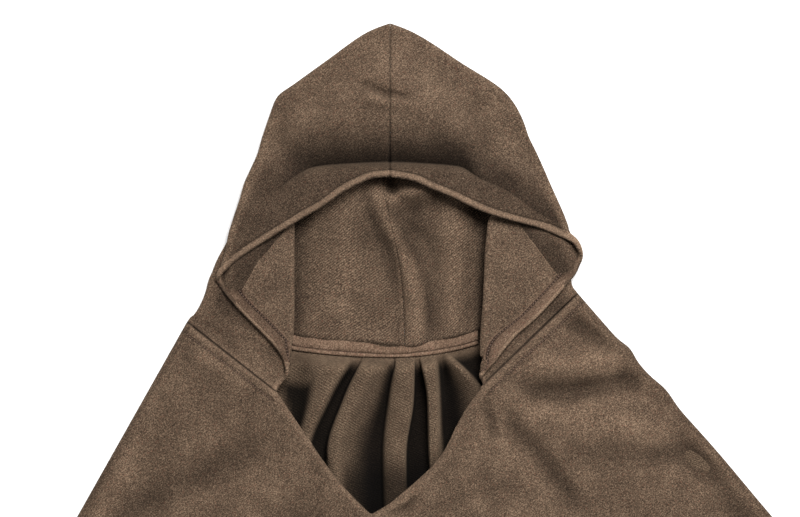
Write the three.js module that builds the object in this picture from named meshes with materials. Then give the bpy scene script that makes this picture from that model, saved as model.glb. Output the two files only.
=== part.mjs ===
// Hooded poncho of fulled wool twill, laid flat on its back with the face opening up.
// Millimetres, +Z up. +Y points from the hem to the tip of the hood, +X to the right of the front.
// While the pieces are worked out, X = 0 is the hood's centre seam and Y = 0 the back of the neck.
// Each piece is a wall built on both sides of a middle surface: ribs are drawn across the piece,
// spread along it, and every rib is a path of straight runs and round folds.
import * as THREE from 'three';

// ---- driving sizes ----
const CLOTH = 2;            // thickness of the twill
const HEM_CLOTH = 1.2;      // pressed turning of a hem
const BAND_CLOTH = 2.4;     // two seam allowances pressed up together
const SEAM_GAP = 0.3;       // between two pieces at a seam
const SEAM_STEP = 0.8;      // the body pieces start this far from the hood along their own ribs
const HEM_WIDTH = 14;       // turning of the face edge
const BAND_WIDTH = 13;      // seam allowance on the inside of the back neck
const SIDE_LENGTH = 880;    // shoulder point to hem corner, along the side
const CENTRE_LENGTH = 882;  // back of the neck to the middle of the hem
const FLOOR = CLOTH / 2;    // height of the middle surface where the cloth lies on the floor

const FOLD_RADIUS = 4;      // outer folds of the hood's side
const RIDGE_RADIUS = 3.5;   // inner fold between the hood's side and its turned-back flap
const TOP_RADIUS = 6;       // single fold over the crown
const FLAP_TOP = 21;        // height of the upper outer fold
const SPINE_BEND = 1.7;     // how the cloth under the hood curves away from the centre seam

const HOOD_ROWS = 26;
// Columns across a rib: on the floor, round the outer fold, on the side, round the ridge, on the
// flap, round the upper fold and over the crown, and then in the turned hem of the face edge.
const HOOD_COLUMNS = { under: 7, fold: 4, side: 4, ridge: 4, flap: 5, over: 4, crown: 6 };
const HEM_COLUMNS = 2;
const BEND_WEIGHT = 9;      // extra columns for a fold, in mm for each radian of turning
const FLOOR_WEIGHT = 0.45;  // fewer columns where the cloth lies flat

// ---- the two halves of the hood ----
// x is measured outward from the centre seam. `at` runs along the face edge from the neck to the crown.
// spineY: centre seam at the back. fold: outer fold on the floor. ridge: inner fold.
// over: upper outer fold. turn: direction that the folds face, in degrees from straight outward.
const LEFT = {
  side: -1,
  ridgeRoll: [0.03, 0.085],
  corner: [0.4, 0.445],
  fade: [0.66, 0.9],
  outline: [
    { at: 0.00, spineY: -8, foldX: 213, foldY: 29, ridgeX: 116, ridgeY: -43, ridgeZ: 30, overX: 200, overY: 60, turn: 28 },
    { at: 0.06, spineY: 0, foldX: 210, foldY: 33, ridgeX: 108, ridgeY: -25, ridgeZ: 28, overX: 196, overY: 64, turn: 27 },
    { at: 0.11, spineY: 7, foldX: 206, foldY: 37, ridgeX: 105, ridgeY: -7, ridgeZ: 26.5, overX: 192, overY: 68, turn: 26 },
    { at: 0.20, spineY: 21, foldX: 200, foldY: 46, ridgeX: 102, ridgeY: 15, ridgeZ: 26, overX: 188, overY: 72, turn: 25 },
    { at: 0.32, spineY: 44, foldX: 194, foldY: 60, ridgeX: 101, ridgeY: 44, ridgeZ: 26, overX: 184, overY: 77, turn: 24 },
    { at: 0.42, spineY: 68, foldX: 189, foldY: 76, ridgeX: 101, ridgeY: 72, ridgeZ: 26, overX: 180, overY: 83, turn: 22 },
    { at: 0.50, spineY: 92, foldX: 182, foldY: 94, ridgeX: 101, ridgeY: 97, ridgeZ: 25.5, overX: 176, overY: 99, turn: 20 },
    { at: 0.61, spineY: 124, foldX: 169, foldY: 118, ridgeX: 101, ridgeY: 128, ridgeZ: 24, overX: 169, overY: 123, turn: 18 },
    { at: 0.67, spineY: 142, foldX: 163, foldY: 134, ridgeX: 102, ridgeY: 145, ridgeZ: 22.5, overX: 164, overY: 139, turn: 17 },
    { at: 0.73, spineY: 166, foldX: 158, foldY: 153, ridgeX: 103, ridgeY: 162, ridgeZ: 21, overX: 159, overY: 158, turn: 18 },
    { at: 0.79, spineY: 194, foldX: 155, foldY: 173, ridgeX: 104, ridgeY: 180, ridgeZ: 19, overX: 156, overY: 176, turn: 20 },
    { at: 0.85, spineY: 236, foldX: 142, foldY: 206, ridgeX: 104, ridgeY: 206, ridgeZ: 17, overX: 143, overY: 207, turn: 23 },
    { at: 0.91, spineY: 283, foldX: 118, foldY: 266, ridgeX: 100, ridgeY: 250, ridgeZ: 16, overX: 118, overY: 266, turn: 38 },
    { at: 0.955, spineY: 312, foldX: 66, foldY: 304, ridgeX: 60, ridgeY: 290, ridgeZ: 15, overX: 66, overY: 304, turn: 58 },
    { at: 0.985, spineY: 328, foldX: 21, foldY: 335, ridgeX: 19, ridgeY: 321, ridgeZ: 14.5, overX: 21, overY: 335, turn: 78 },
    { at: 1.00, spineY: 334, foldX: 0, foldY: 343, ridgeX: 0, ridgeY: 330, ridgeZ: 14, overX: 0, overY: 343, turn: 90 },
  ],
  // Face edge: first where it crosses the flap, then, past the corner, as the rim of the crown.
  edge: [
    { at: 0.00, x: 119, y: -43, z: 30 },
    { at: 0.085, x: 110, y: -15, z: 26 },
    { at: 0.11, x: 112, y: -8, z: 25.5 },
    { at: 0.15, x: 120, y: 3, z: 24.5 },
    { at: 0.20, x: 134, y: 18, z: 22.5 },
    { at: 0.26, x: 149, y: 33, z: 20.5 },
    { at: 0.32, x: 163, y: 48, z: 18.5 },
    { at: 0.37, x: 173, y: 63, z: 16.5 },
    { at: 0.40, x: 176, y: 79, z: 14.5 },
    { at: 0.445, x: 175, y: 91, z: 23 },
    { at: 0.50, x: 164, y: 102, z: 25 },
    { at: 0.55, x: 146, y: 111, z: 28 },
    { at: 0.61, x: 127, y: 123, z: 31 },
    { at: 0.67, x: 108, y: 133, z: 33 },
    { at: 0.73, x: 89, y: 146, z: 35 },
    { at: 0.79, x: 70, y: 157, z: 37 },
    { at: 0.855, x: 51, y: 170, z: 39 },
    { at: 0.915, x: 33, y: 179, z: 40 },
    { at: 0.965, x: 15, y: 185, z: 40 },
    { at: 1.00, x: 0, y: 186, z: 40 },
  ],
};

const RIGHT = {
  side: 1,
  ridgeRoll: [0.01, 0.05],
  corner: [0.415, 0.46],
  fade: [0.62, 0.88],
  outline: [
    { at: 0.00, spineY: -8, foldX: 197, foldY: 59, ridgeX: 94, ridgeY: -36, ridgeZ: 30, overX: 204, overY: 88, turn: 32 },
    { at: 0.06, spineY: 0, foldX: 194, foldY: 63, ridgeX: 95, ridgeY: -22, ridgeZ: 27.5, overX: 204, overY: 90, turn: 31 },
    { at: 0.15, spineY: 13, foldX: 191, foldY: 69, ridgeX: 95, ridgeY: 2, ridgeZ: 26, overX: 203, overY: 93, turn: 28 },
    { at: 0.25, spineY: 31, foldX: 190, foldY: 77, ridgeX: 96, ridgeY: 25, ridgeZ: 26, overX: 203, overY: 97, turn: 25 },
    { at: 0.35, spineY: 52, foldX: 191, foldY: 86, ridgeX: 98, ridgeY: 50, ridgeZ: 26, overX: 202, overY: 99, turn: 22 },
    { at: 0.44, spineY: 75, foldX: 192, foldY: 97, ridgeX: 99, ridgeY: 76, ridgeZ: 26, overX: 201, overY: 103, turn: 20 },
    { at: 0.50, spineY: 93, foldX: 190, foldY: 108, ridgeX: 100, ridgeY: 95, ridgeZ: 25.5, overX: 196, overY: 112, turn: 22 },
    { at: 0.58, spineY: 119, foldX: 184, foldY: 126, ridgeX: 102, ridgeY: 121, ridgeZ: 24, overX: 187, overY: 130, turn: 24 },
    { at: 0.67, spineY: 150, foldX: 176, foldY: 150, ridgeX: 104, ridgeY: 147, ridgeZ: 22, overX: 178, overY: 154, turn: 25 },
    { at: 0.73, spineY: 176, foldX: 169, foldY: 172, ridgeX: 104, ridgeY: 168, ridgeZ: 20.5, overX: 171, overY: 174, turn: 25 },
    { at: 0.78, spineY: 203, foldX: 162, foldY: 194, ridgeX: 103, ridgeY: 188, ridgeZ: 19, overX: 163, overY: 195, turn: 26 },
    { at: 0.83, spineY: 236, foldX: 150, foldY: 221, ridgeX: 102, ridgeY: 212, ridgeZ: 17, overX: 151, overY: 221, turn: 26 },
    { at: 0.89, spineY: 280, foldX: 124, foldY: 267, ridgeX: 100, ridgeY: 250, ridgeZ: 16, overX: 124, overY: 267, turn: 38 },
    { at: 0.945, spineY: 311, foldX: 72, foldY: 303, ridgeX: 60, ridgeY: 290, ridgeZ: 15, overX: 72, overY: 303, turn: 58 },
    { at: 0.985, spineY: 328, foldX: 21, foldY: 335, ridgeX: 19, ridgeY: 321, ridgeZ: 14.5, overX: 21, overY: 335, turn: 78 },
    { at: 1.00, spineY: 334, foldX: 0, foldY: 343, ridgeX: 0, ridgeY: 330, ridgeZ: 14, overX: 0, overY: 343, turn: 90 },
  ],
  edge: [
    { at: 0.00, x: 97, y: -37, z: 30 },
    { at: 0.05, x: 106, y: -18, z: 26 },
    { at: 0.10, x: 118, y: -2, z: 25 },
    { at: 0.15, x: 130, y: 13, z: 23.5 },
    { at: 0.23, x: 154, y: 34, z: 21 },
    { at: 0.295, x: 171, y: 52, z: 18.5 },
    { at: 0.37, x: 189, y: 76, z: 16 },
    { at: 0.415, x: 196, y: 91, z: 14.5 },
    { at: 0.46, x: 195, y: 105, z: 23 },
    { at: 0.49, x: 188, y: 117, z: 24 },
    { at: 0.525, x: 177, y: 123, z: 26 },
    { at: 0.577, x: 159, y: 131, z: 29 },
    { at: 0.626, x: 140, y: 136, z: 31 },
    { at: 0.675, x: 121, y: 141, z: 33 },
    { at: 0.725, x: 102, y: 147, z: 35 },
    { at: 0.778, x: 83, y: 156, z: 37 },
    { at: 0.83, x: 64, y: 166, z: 39 },
    { at: 0.877, x: 46, y: 171, z: 40 },
    { at: 0.94, x: 23, y: 182, z: 40 },
    { at: 1.00, x: 0, y: 186, z: 40 },
  ],
};

// Top layer of the hood along X: where its crease lies, where its rim ends, and how high each is.
const CROWN = [
  { x: -185, creaseY: 166, rimY: 84, crease: 21, rim: 22 },
  { x: -164, creaseY: 168, rimY: 102, crease: 21, rim: 27 },
  { x: -125, creaseY: 166, rimY: 124, crease: 23, rim: 33 },
  { x: -100, creaseY: 182, rimY: 138, crease: 24, rim: 36 },
  { x: -80, creaseY: 192, rimY: 151, crease: 14, rim: 38 },
  { x: -51, creaseY: 195, rimY: 170, crease: 11, rim: 41 },
  { x: 0, creaseY: 197, rimY: 186, crease: 10, rim: 42 },
  { x: 46, creaseY: 195, rimY: 171, crease: 11, rim: 41 },
  { x: 74, creaseY: 192, rimY: 161, crease: 13, rim: 40 },
  { x: 92, creaseY: 181, rimY: 151, crease: 23, rim: 38 },
  { x: 121, creaseY: 168, rimY: 141, crease: 25, rim: 35 },
  { x: 150, creaseY: 148, rimY: 133, crease: 26, rim: 32 },
  { x: 177, creaseY: 132, rimY: 123, crease: 25, rim: 28 },
  { x: 205, creaseY: 112, rimY: 105, crease: 22, rim: 23 },
];
const CROWN_HEIGHT = 36;
const CROWN_SLOPE = 38;     // length of the slope from the crease up to the crown
const CROWN_SHOULDER = 66;  // length over which the crown rises from its outer fold

// ---- the body ----
const NECK = { left: [-213, 29], right: [197, 59] };   // shoulder ends of the neck seam
const SIDE_SLOPE = { left: 60.6, right: 49 };         // degrees down from level
const HEM = {
  left: sideEnd(NECK.left, -1, SIDE_SLOPE.left),
  middle: [-10, -CENTRE_LENGTH],
  right: sideEnd(NECK.right, 1, SIDE_SLOPE.right),
};

function sideEnd([x, y], side, slope) {
  const angle = slope * Math.PI / 180;
  return [x + side * SIDE_LENGTH * Math.cos(angle), y - SIDE_LENGTH * Math.sin(angle)];
}

// Back: one row for each ridge or valley, in order from the left side to the right.
// neckX: on the neck seam. (midX, midY): about 80 mm below it. hem: share of the hem, left to right.
// lift: height of the fold below the neck. lean: how far its crest falls to the side.
const BACK_MID = 0.1;
const BACK_FOLDS = [
  { at: 0, neckX: -213, midX: -276, midY: -83, hem: 0, lift: 0, lean: 0 },
  { at: 1, neckX: -158, midX: -190, midY: -90, hem: 0.16, lift: 0, lean: 0 },
  { at: 2, neckX: -92, midX: -112, midY: -88, hem: 0.3, lift: 0, lean: 0 },
  { at: 3, neckX: -58, midX: -83, midY: -88, hem: 0.37, lift: 27, lean: 0 },
  { at: 4, neckX: -31, midX: -64, midY: -86, hem: 0.42, lift: 1, lean: 0 },
  { at: 5, neckX: -13, midX: -48, midY: -86, hem: 0.455, lift: 32, lean: -0.3 },
  { at: 6, neckX: 5, midX: -18, midY: -88, hem: 0.49, lift: 4, lean: 0 },
  { at: 7, neckX: 17, midX: 5, midY: -88, hem: 0.525, lift: 30, lean: 0.25 },
  { at: 8, neckX: 28, midX: 27, midY: -88, hem: 0.555, lift: 0, lean: 0 },
  { at: 9, neckX: 39, midX: 44, midY: -86, hem: 0.585, lift: 32, lean: -0.3 },
  { at: 10, neckX: 50, midX: 63, midY: -82, hem: 0.62, lift: 3, lean: 0 },
  { at: 11, neckX: 62, midX: 108, midY: -70, hem: 0.67, lift: 24, lean: 0 },
  { at: 12, neckX: 78, midX: 146, midY: -56, hem: 0.73, lift: 0, lean: 0 },
  { at: 13, neckX: 136, midX: 218, midY: -36, hem: 0.86, lift: 0, lean: 0 },
  { at: 14, neckX: 197, midX: 255, midY: -7, hem: 1, lift: 0, lean: 0 },
];
const BACK_ROWS = 16;
const BACK_COLUMNS = 4;     // between one fold's row and the next
const ROW_CROWDING = 1.6;   // how much closer the rows of the body stand near the neck
const BACK_REACH = 0.78;    // share of the length where the folds have run out
const BACK_RISE = 0.055;    // share of the length over which they rise from the seam

// Front: points of its upper edge, from the left shoulder down the V and up to the right shoulder.
const FRONT_EDGE = [
  { at: 0, x: -213, y: 29, z: 10, hem: 0, columns: 6 },
  { at: 1, x: -119.5, y: -43, z: 30, hem: 0.24, columns: 4 },
  { at: 2, x: -85, y: -94, z: 31, hem: 0.36, columns: 4 },
  { at: 3, x: -19, y: -173, z: 29, hem: 0.5, columns: 4 },
  { at: 4, x: 48, y: -117, z: 31, hem: 0.6, columns: 4 },
  { at: 5, x: 97.5, y: -36, z: 30, hem: 0.74, columns: 6 },
  { at: 6, x: 197, y: 59, z: 10, hem: 1, columns: 0 },
];
const FRONT_ROWS = 18;
const SIDE_COLUMNS = 3;     // round edge at each side
const SIDE_FOOT = FLOOR + CLOTH / 2 + 2 * SEAM_GAP;   // the front's side edge stands on the back
const FRONT_HEM = 4;        // height of the front at its hem
const FRONT_SETTLE = 2.2;   // how quickly the front sinks from the neck to its hem
const WAVE_START = 0.03;    // share of the length over which its waves rise from the seam

// Wide folds that the front keeps between shoulder and V, as ridges and troughs between two points.
const FRONT_WAVES = [
  { x1: 120, y1: -8, x2: 240, y2: 4, width: 15, height: 5 },
  { x1: 130, y1: -32, x2: 262, y2: -36, width: 14, height: -5 },
  { x1: 190, y1: -62, x2: 300, y2: -88, width: 19, height: 5 },
  { x1: 100, y1: -60, x2: 128, y2: -150, width: 12, height: -4 },
  { x1: 108, y1: -60, x2: 210, y2: -190, width: 14, height: -5 },
  { x1: 125, y1: -150, x2: 190, y2: -300, width: 24, height: 5 },
  { x1: -205, y1: 4, x2: -140, y2: -40, width: 15, height: 4 },
  { x1: -128, y1: -88, x2: -290, y2: -210, width: 24, height: -5 },
  { x1: -70, y1: -150, x2: -190, y2: -270, width: 24, height: -4 },
];

// ---- arithmetic ----
const { PI, abs, atan2, cos, hypot, max, min, sin } = Math;

function lerp(a, b, share) {
  return a + (b - a) * share;
}

function ramp(from, to, x) {
  const share = min(max((x - from) / (to - from), 0), 1);
  return share * share * (3 - 2 * share);
}

function mix(p, q, share) {
  return p.map((value, axis) => lerp(value, q[axis], share));
}

function distance(p, q) {
  return hypot(p[0] - q[0], p[1] - q[1], p[2] - q[2]);
}

// Value of a table's column where its key column equals `at`, on a smooth curve through the rows
// that never swings past them.
function read(table, key, at, column) {
  let i = 0;
  while (i < table.length - 2 && at > table[i + 1][key]) i += 1;
  const slope = k => (table[k + 1][column] - table[k][column]) / (table[k + 1][key] - table[k][key]);
  const tangent = k => {
    if (k === 0) return slope(0);
    if (k === table.length - 1) return slope(k - 1);
    const before = slope(k - 1);
    const after = slope(k);
    return before * after <= 0 ? 0 : 2 * before * after / (before + after);
  };
  const span = table[i + 1][key] - table[i][key];
  const s = min(max((at - table[i][key]) / span, 0), 1);
  const own = (1 + 2 * s) * (1 - s) ** 2;
  const next = s * s * (3 - 2 * s);
  return own * table[i][column] + next * table[i + 1][column]
    + span * (s * (1 - s) ** 2 * tangent(i) - s * s * (1 - s) * tangent(i + 1));
}

// Running cost along a path, by which points are spread: bends cost more, the floor less.
function costs(path) {
  const cost = [0];
  for (let i = 1; i < path.length; i += 1) {
    const length = distance(path[i], path[i - 1]);
    const flat = max(path[i][2], path[i - 1][2]) < FLOOR + 0.01;
    let turning = 0;
    if (i < path.length - 1 && length > 0.01 && distance(path[i + 1], path[i]) > 0.01) {
      const a = path[i].map((value, axis) => (value - path[i - 1][axis]) / length);
      const b = path[i + 1].map((value, axis) => (value - path[i][axis]) / distance(path[i + 1], path[i]));
      turning = 2 * Math.asin(min(distance(a, b) / 2, 1));
    }
    cost.push(cost[i - 1] + length * (flat ? FLOOR_WEIGHT : 1) + turning * BEND_WEIGHT);
  }
  return cost;
}

// The points of a path at the given running costs, which rise.
function pointsAt(path, cost, targets) {
  let i = 1;
  return targets.map(target => {
    while (i < path.length - 1 && cost[i] < target) i += 1;
    const share = (target - cost[i - 1]) / (cost[i] - cost[i - 1] || 1);
    return mix(path[i - 1], path[i], min(max(share, 0), 1));
  });
}

// `counts[k]` even steps from marks[k] to marks[k + 1].
function evenSteps(marks, counts) {
  const steps = [marks[0]];
  counts.forEach((count, k) => {
    for (let i = 1; i <= count; i += 1) steps.push(lerp(marks[k], marks[k + 1], i / count));
  });
  return steps;
}

// Unit normals of a grid of points, from the rows and columns on each side.
function normals(grid) {
  const rows = grid.length;
  const columns = grid[0].length;
  return grid.map((row, r) => row.map((_, c) => {
    const along = new THREE.Vector3(...grid[min(r + 1, rows - 1)][c])
      .sub(new THREE.Vector3(...grid[max(r - 1, 0)][c]));
    const across = new THREE.Vector3(...grid[r][min(c + 1, columns - 1)])
      .sub(new THREE.Vector3(...grid[r][max(c - 1, 0)]));
    return across.cross(along).normalize().toArray();
  }));
}

function moved(grid, directions, amount) {
  return grid.map((row, r) => row.map((p, c) => p.map((value, axis) => value + directions[r][c][axis] * amount)));
}

// A closed wall between two grids of the same size.
function wall(name, upper, lower, material) {
  const rows = upper.length;
  const columns = upper[0].length;
  const layer = rows * columns;
  const positions = [...upper.flat(), ...lower.flat()].flat();
  const indices = [];
  const corner = k => positions.slice(3 * k, 3 * k + 3);
  const quad = (a, b, c, d) => {
    if (distance(corner(a), corner(c)) <= distance(corner(b), corner(d))) indices.push(a, b, c, a, c, d);
    else indices.push(a, b, d, b, c, d);
  };
  const at = (r, c) => r * columns + c;
  for (let r = 0; r < rows - 1; r += 1) {
    for (let c = 0; c < columns - 1; c += 1) {
      quad(at(r, c), at(r, c + 1), at(r + 1, c + 1), at(r + 1, c));
      quad(layer + at(r + 1, c), layer + at(r + 1, c + 1), layer + at(r, c + 1), layer + at(r, c));
    }
  }
  const rim = [];
  for (let c = 0; c < columns - 1; c += 1) rim.push(at(0, c));
  for (let r = 0; r < rows - 1; r += 1) rim.push(at(r, columns - 1));
  for (let c = columns - 1; c > 0; c -= 1) rim.push(at(rows - 1, c));
  for (let r = rows - 1; r > 0; r -= 1) rim.push(at(r, 0));
  rim.forEach((from, k) => {
    const to = rim[(k + 1) % rim.length];
    quad(from, layer + from, layer + to, to);
  });
  const geometry = new THREE.BufferGeometry();
  geometry.setAttribute('position', new THREE.Float32BufferAttribute(positions, 3));
  geometry.setIndex(indices);
  if (volume(positions, indices) < 0) geometry.setIndex(indices.reverse());
  geometry.computeVertexNormals();
  const mesh = new THREE.Mesh(geometry, material);
  mesh.name = name;
  return mesh;
}

function volume(positions, indices) {
  const point = k => new THREE.Vector3(...positions.slice(3 * indices[k], 3 * indices[k] + 3));
  let sum = 0;
  for (let k = 0; k < indices.length; k += 3) sum += point(k).dot(point(k + 1).cross(point(k + 2)));
  return sum / 6;
}

function cloth(name, grid, material) {
  const out = normals(grid);
  return wall(name, moved(grid, out, CLOTH / 2), moved(grid, out, -CLOTH / 2), material);
}

// ---- hood ----
function arc(centre, outward, middleZ, radius, fromDegrees, toDegrees, steps) {
  const points = [];
  for (let i = 1; i <= steps; i += 1) {
    const angle = lerp(fromDegrees, toDegrees, i / steps) * PI / 180;
    points.push([
      centre[0] + outward[0] * radius * cos(angle),
      centre[1] + outward[1] * radius * cos(angle),
      middleZ + radius * sin(angle),
    ]);
  }
  return points;
}

function run(from, to, steps) {
  const points = [];
  for (let i = 1; i <= steps; i += 1) points.push(mix(from, to, i / steps));
  return points;
}

// Height of the hood's top layer: a crown that dips to the crease and rises again to the rim.
function crownHeight(x, y) {
  const creaseY = read(CROWN, 'x', x, 'creaseY');
  const crease = read(CROWN, 'x', x, 'crease');
  if (y > creaseY) return lerp(crease, CROWN_HEIGHT, ramp(0, CROWN_SLOPE, y - creaseY));
  const share = (creaseY - y) / (creaseY - read(CROWN, 'x', x, 'rimY'));
  return lerp(crease, read(CROWN, 'x', x, 'rim'), ramp(-0.35, 1.15, min(share, 1.1)) * 1.1 - 0.08);
}

// One rib of a hood half: under the back, round the outer fold, in to the ridge, out along the flap,
// round the upper fold and over the crown, as far as the face edge cuts it off. `ends` holds the
// number of the last point of each stretch.
function hoodRib(half, at) {
  const value = column => read(half.outline, 'at', at, column);
  const turn = value('turn') * PI / 180;
  const out = [cos(turn), sin(turn)];
  const inside = (point, radius) => [point[0] - out[0] * radius, point[1] - out[1] * radius];
  const fold = [value('foldX'), value('foldY')];
  const over = [value('overX'), value('overY')];
  const edge = ['x', 'y', 'z'].map(column => read(half.edge, 'at', at, column));
  const gusset = 1 - ramp(half.fade[0], half.fade[1], at);
  const lowCentre = mix(inside(fold, TOP_RADIUS), inside(fold, FOLD_RADIUS), gusset);

  const under = [];
  const steps = 16;
  for (let i = 0; i <= steps; i += 1) {
    const share = i / steps;
    const y = lerp(value('spineY'), lowCentre[1], share ** SPINE_BEND);
    under.push([lerp(SEAM_GAP / 2, lowCentre[0], share), y, FLOOR]);
  }

  const ridgeTop = value('ridgeZ');
  const ridgeCentre = [value('ridgeX') + RIDGE_RADIUS, value('ridgeY')];
  const rolled = 180 * ramp(half.ridgeRoll[0], half.ridgeRoll[1], at);
  const turned = 180 * ramp(half.corner[0], half.corner[1], at);
  const ridgeFoot = ridgeTop - 2 * RIDGE_RADIUS * ramp(0, half.ridgeRoll[0], at);
  const lowTop = [...inside(fold, FOLD_RADIUS), FLOOR + 2 * FOLD_RADIUS];
  const overCentre = inside(over, FOLD_RADIUS);
  const folded = arc(inside(fold, FOLD_RADIUS), out, FLOOR + FOLD_RADIUS, FOLD_RADIUS, -90, 90, 10);
  const ends = [under.length - 1];
  const endStretch = () => ends.push(under.length + folded.length - 1);
  endStretch();
  folded.push(...run(lowTop, [...ridgeCentre, ridgeFoot], 10));
  endStretch();
  if (rolled > 0) {
    folded.push(...arc(ridgeCentre, [-1, 0], ridgeFoot + RIDGE_RADIUS, RIDGE_RADIUS, -90, rolled - 90, 10));
  }
  endStretch();
  if (rolled === 180) {
    const crest = folded[folded.length - 1];
    const foot = [...overCentre, FLAP_TOP - 2 * FOLD_RADIUS];
    folded.push(...run(crest, at < half.corner[0] ? edge : foot, 12));
  }
  endStretch();
  if (turned > 0) {
    folded.push(...arc(overCentre, out, FLAP_TOP - FOLD_RADIUS, FOLD_RADIUS, -90, turned - 90, 10));
  }
  endStretch();
  if (gusset < 1) {
    const single = arc(inside(fold, TOP_RADIUS), out, FLOOR + TOP_RADIUS, TOP_RADIUS, -90, 90, folded.length);
    folded.forEach((point, i) => { folded[i] = mix(single[i], point, gusset); });
  }
  const path = [...under, ...folded];
  if (turned === 180) {
    const start = path[path.length - 1];
    for (let i = 1; i <= 24; i += 1) {
      const [x, y] = mix(start, edge, i / 24);
      const away = hypot(x - start[0], y - start[1]);
      path.push([x, y, lerp(start[2], crownHeight(half.side * x, y), ramp(0, CROWN_SHOULDER, away))]);
    }
  }
  return { path: path.map(([x, y, z]) => [half.side * max(x, SEAM_GAP / 2), y, z]), ends, gusset };
}

// Shares of the face edge at which the ribs stand: evenly along the edge and the outer fold together.
function hoodStations(half) {
  const samples = 240;
  const trail = [];
  for (let i = 0; i <= samples; i += 1) {
    const { path } = hoodRib(half, i / samples);
    const fold = ['foldX', 'foldY'].map(column => read(half.outline, 'at', i / samples, column));
    trail.push({ at: i / samples, end: path[path.length - 1], fold: [...fold, 0] });
  }
  const cost = [0];
  for (let i = 1; i <= samples; i += 1) {
    const nearCorner = trail[i].at > half.corner[0] - 0.02 && trail[i].at < half.corner[1] + 0.02;
    cost.push(cost[i - 1] + distance(trail[i].end, trail[i - 1].end) * (nearCorner ? 2 : 1)
      + 0.7 * distance(trail[i].fold, trail[i - 1].fold));
  }
  const stations = [];
  for (let k = 0; k <= HOOD_ROWS; k += 1) {
    const target = cost[samples] * k / HOOD_ROWS;
    let i = 1;
    while (i < samples && cost[i] < target) i += 1;
    stations.push((i - 1 + (target - cost[i - 1]) / (cost[i] - cost[i - 1])) / samples);
  }
  return stations;
}

// The points of one rib. Where its folds are whole, each fold keeps the same columns from rib to rib;
// where the face edge cuts them off, the columns are spread evenly over what is left.
function hoodRow(half, at) {
  const { path, ends, gusset } = hoodRib(half, at);
  const cost = costs(path);
  const total = cost[cost.length - 1];
  let hemStart = path.length - 1;
  let hemLength = 0;
  while (hemLength < HEM_WIDTH) {
    hemLength += distance(path[hemStart], path[hemStart - 1]);
    hemStart -= 1;
  }
  const spare = (hemLength - HEM_WIDTH) / distance(path[hemStart], path[hemStart + 1]);
  const hemCost = lerp(cost[hemStart], cost[hemStart + 1], spare);

  const n = HOOD_COLUMNS;
  const marks = ends.map(end => min(cost[end], hemCost));
  const [floor, fold, side, ridge, flap, over] = marks;
  const foldsWhole = ramp(half.ridgeRoll[1], half.ridgeRoll[1] + 0.07, at) * ramp(0, 0.5, gusset);
  const crownWhole = ramp(half.corner[1], half.corner[1] + 0.16, at) * ramp(0, 0.5, gusset);
  const lastColumns = n.flap + n.over + n.crown;
  const free = evenSteps([floor, hemCost], [n.fold + n.side + n.ridge + lastColumns]);
  const openCrown = evenSteps([floor, fold, side, ridge, hemCost], [n.fold, n.side, n.ridge, lastColumns]);
  const bound = evenSteps(
    [floor, fold, side, ridge, flap, over, hemCost],
    [n.fold, n.side, n.ridge, n.flap, n.over, n.crown],
  );
  const targets = free.map((target, i) => lerp(target, lerp(openCrown[i], bound[i], crownWhole), foldsWhole));
  return pointsAt(path, cost, [
    ...evenSteps([0, floor], [n.under]).slice(0, -1),
    ...targets,
    ...evenSteps([hemCost, total], [HEM_COLUMNS]).slice(1),
  ]);
}

// Keeps a half on its own side of the centre seam.
function onOwnSide(grid, side) {
  return grid.map(row => row.map(([x, y, z]) => [side * max(side * x, SEAM_GAP / 2), y, z]));
}

// The turning of the face edge shows on the flap alone, so it is built from the neck to the corner.
function hoodHalf(half, name, material, hemMaterial) {
  const stations = hoodStations(half);
  const grid = stations.map(at => hoodRow(half, at));
  const inward = normals(grid).map(row => row.map(n => n.map(value => value * half.side)));
  const face = amount => onOwnSide(moved(grid, inward, amount), half.side);
  const panel = wall(`hood_${name}`, face(CLOTH / 2), face(-CLOTH / 2), material);

  const shows = stations.map(at => at > half.ridgeRoll[1] + 0.02 && at < half.corner[0]);
  const hemFace = depth => face(depth)
    .filter((_, r) => shows[r])
    .map(row => row.slice(-1 - HEM_COLUMNS));
  const near = CLOTH / 2 + SEAM_GAP;
  const hem = wall(`face_hem_${name}`, hemFace(near), hemFace(near + HEM_CLOTH), hemMaterial);
  return [panel, hem];
}

// ---- neck ----
// The seam between hood and back, from the centre seam out to a shoulder.
function neckSeamY(x) {
  const half = x < 0 ? LEFT : RIGHT;
  const row = half.outline[0];
  const turn = row.turn * PI / 180;
  const endX = row.foldX - FOLD_RADIUS * cos(turn);
  const endY = row.foldY - FOLD_RADIUS * sin(turn);
  return lerp(row.spineY, endY, min(abs(x) / endX, 1.05) ** SPINE_BEND);
}

function neckBand(material) {
  const left = -108;
  const right = 92;
  const columns = 20;
  const rows = 2;
  const grid = [];
  for (let r = 0; r <= rows; r += 1) {
    const row = [];
    for (let c = 0; c <= columns; c += 1) {
      const x = lerp(left, right, c / columns);
      row.push([x, neckSeamY(x) + 0.5 + BAND_WIDTH * r / rows, CLOTH + SEAM_GAP + BAND_CLOTH / 2]);
    }
    grid.push(row);
  }
  const up = grid.map(row => row.map(() => [0, 0, 1]));
  return wall('neck_seam_band', moved(grid, up, BAND_CLOTH / 2), moved(grid, up, -BAND_CLOTH / 2), material);
}

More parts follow.
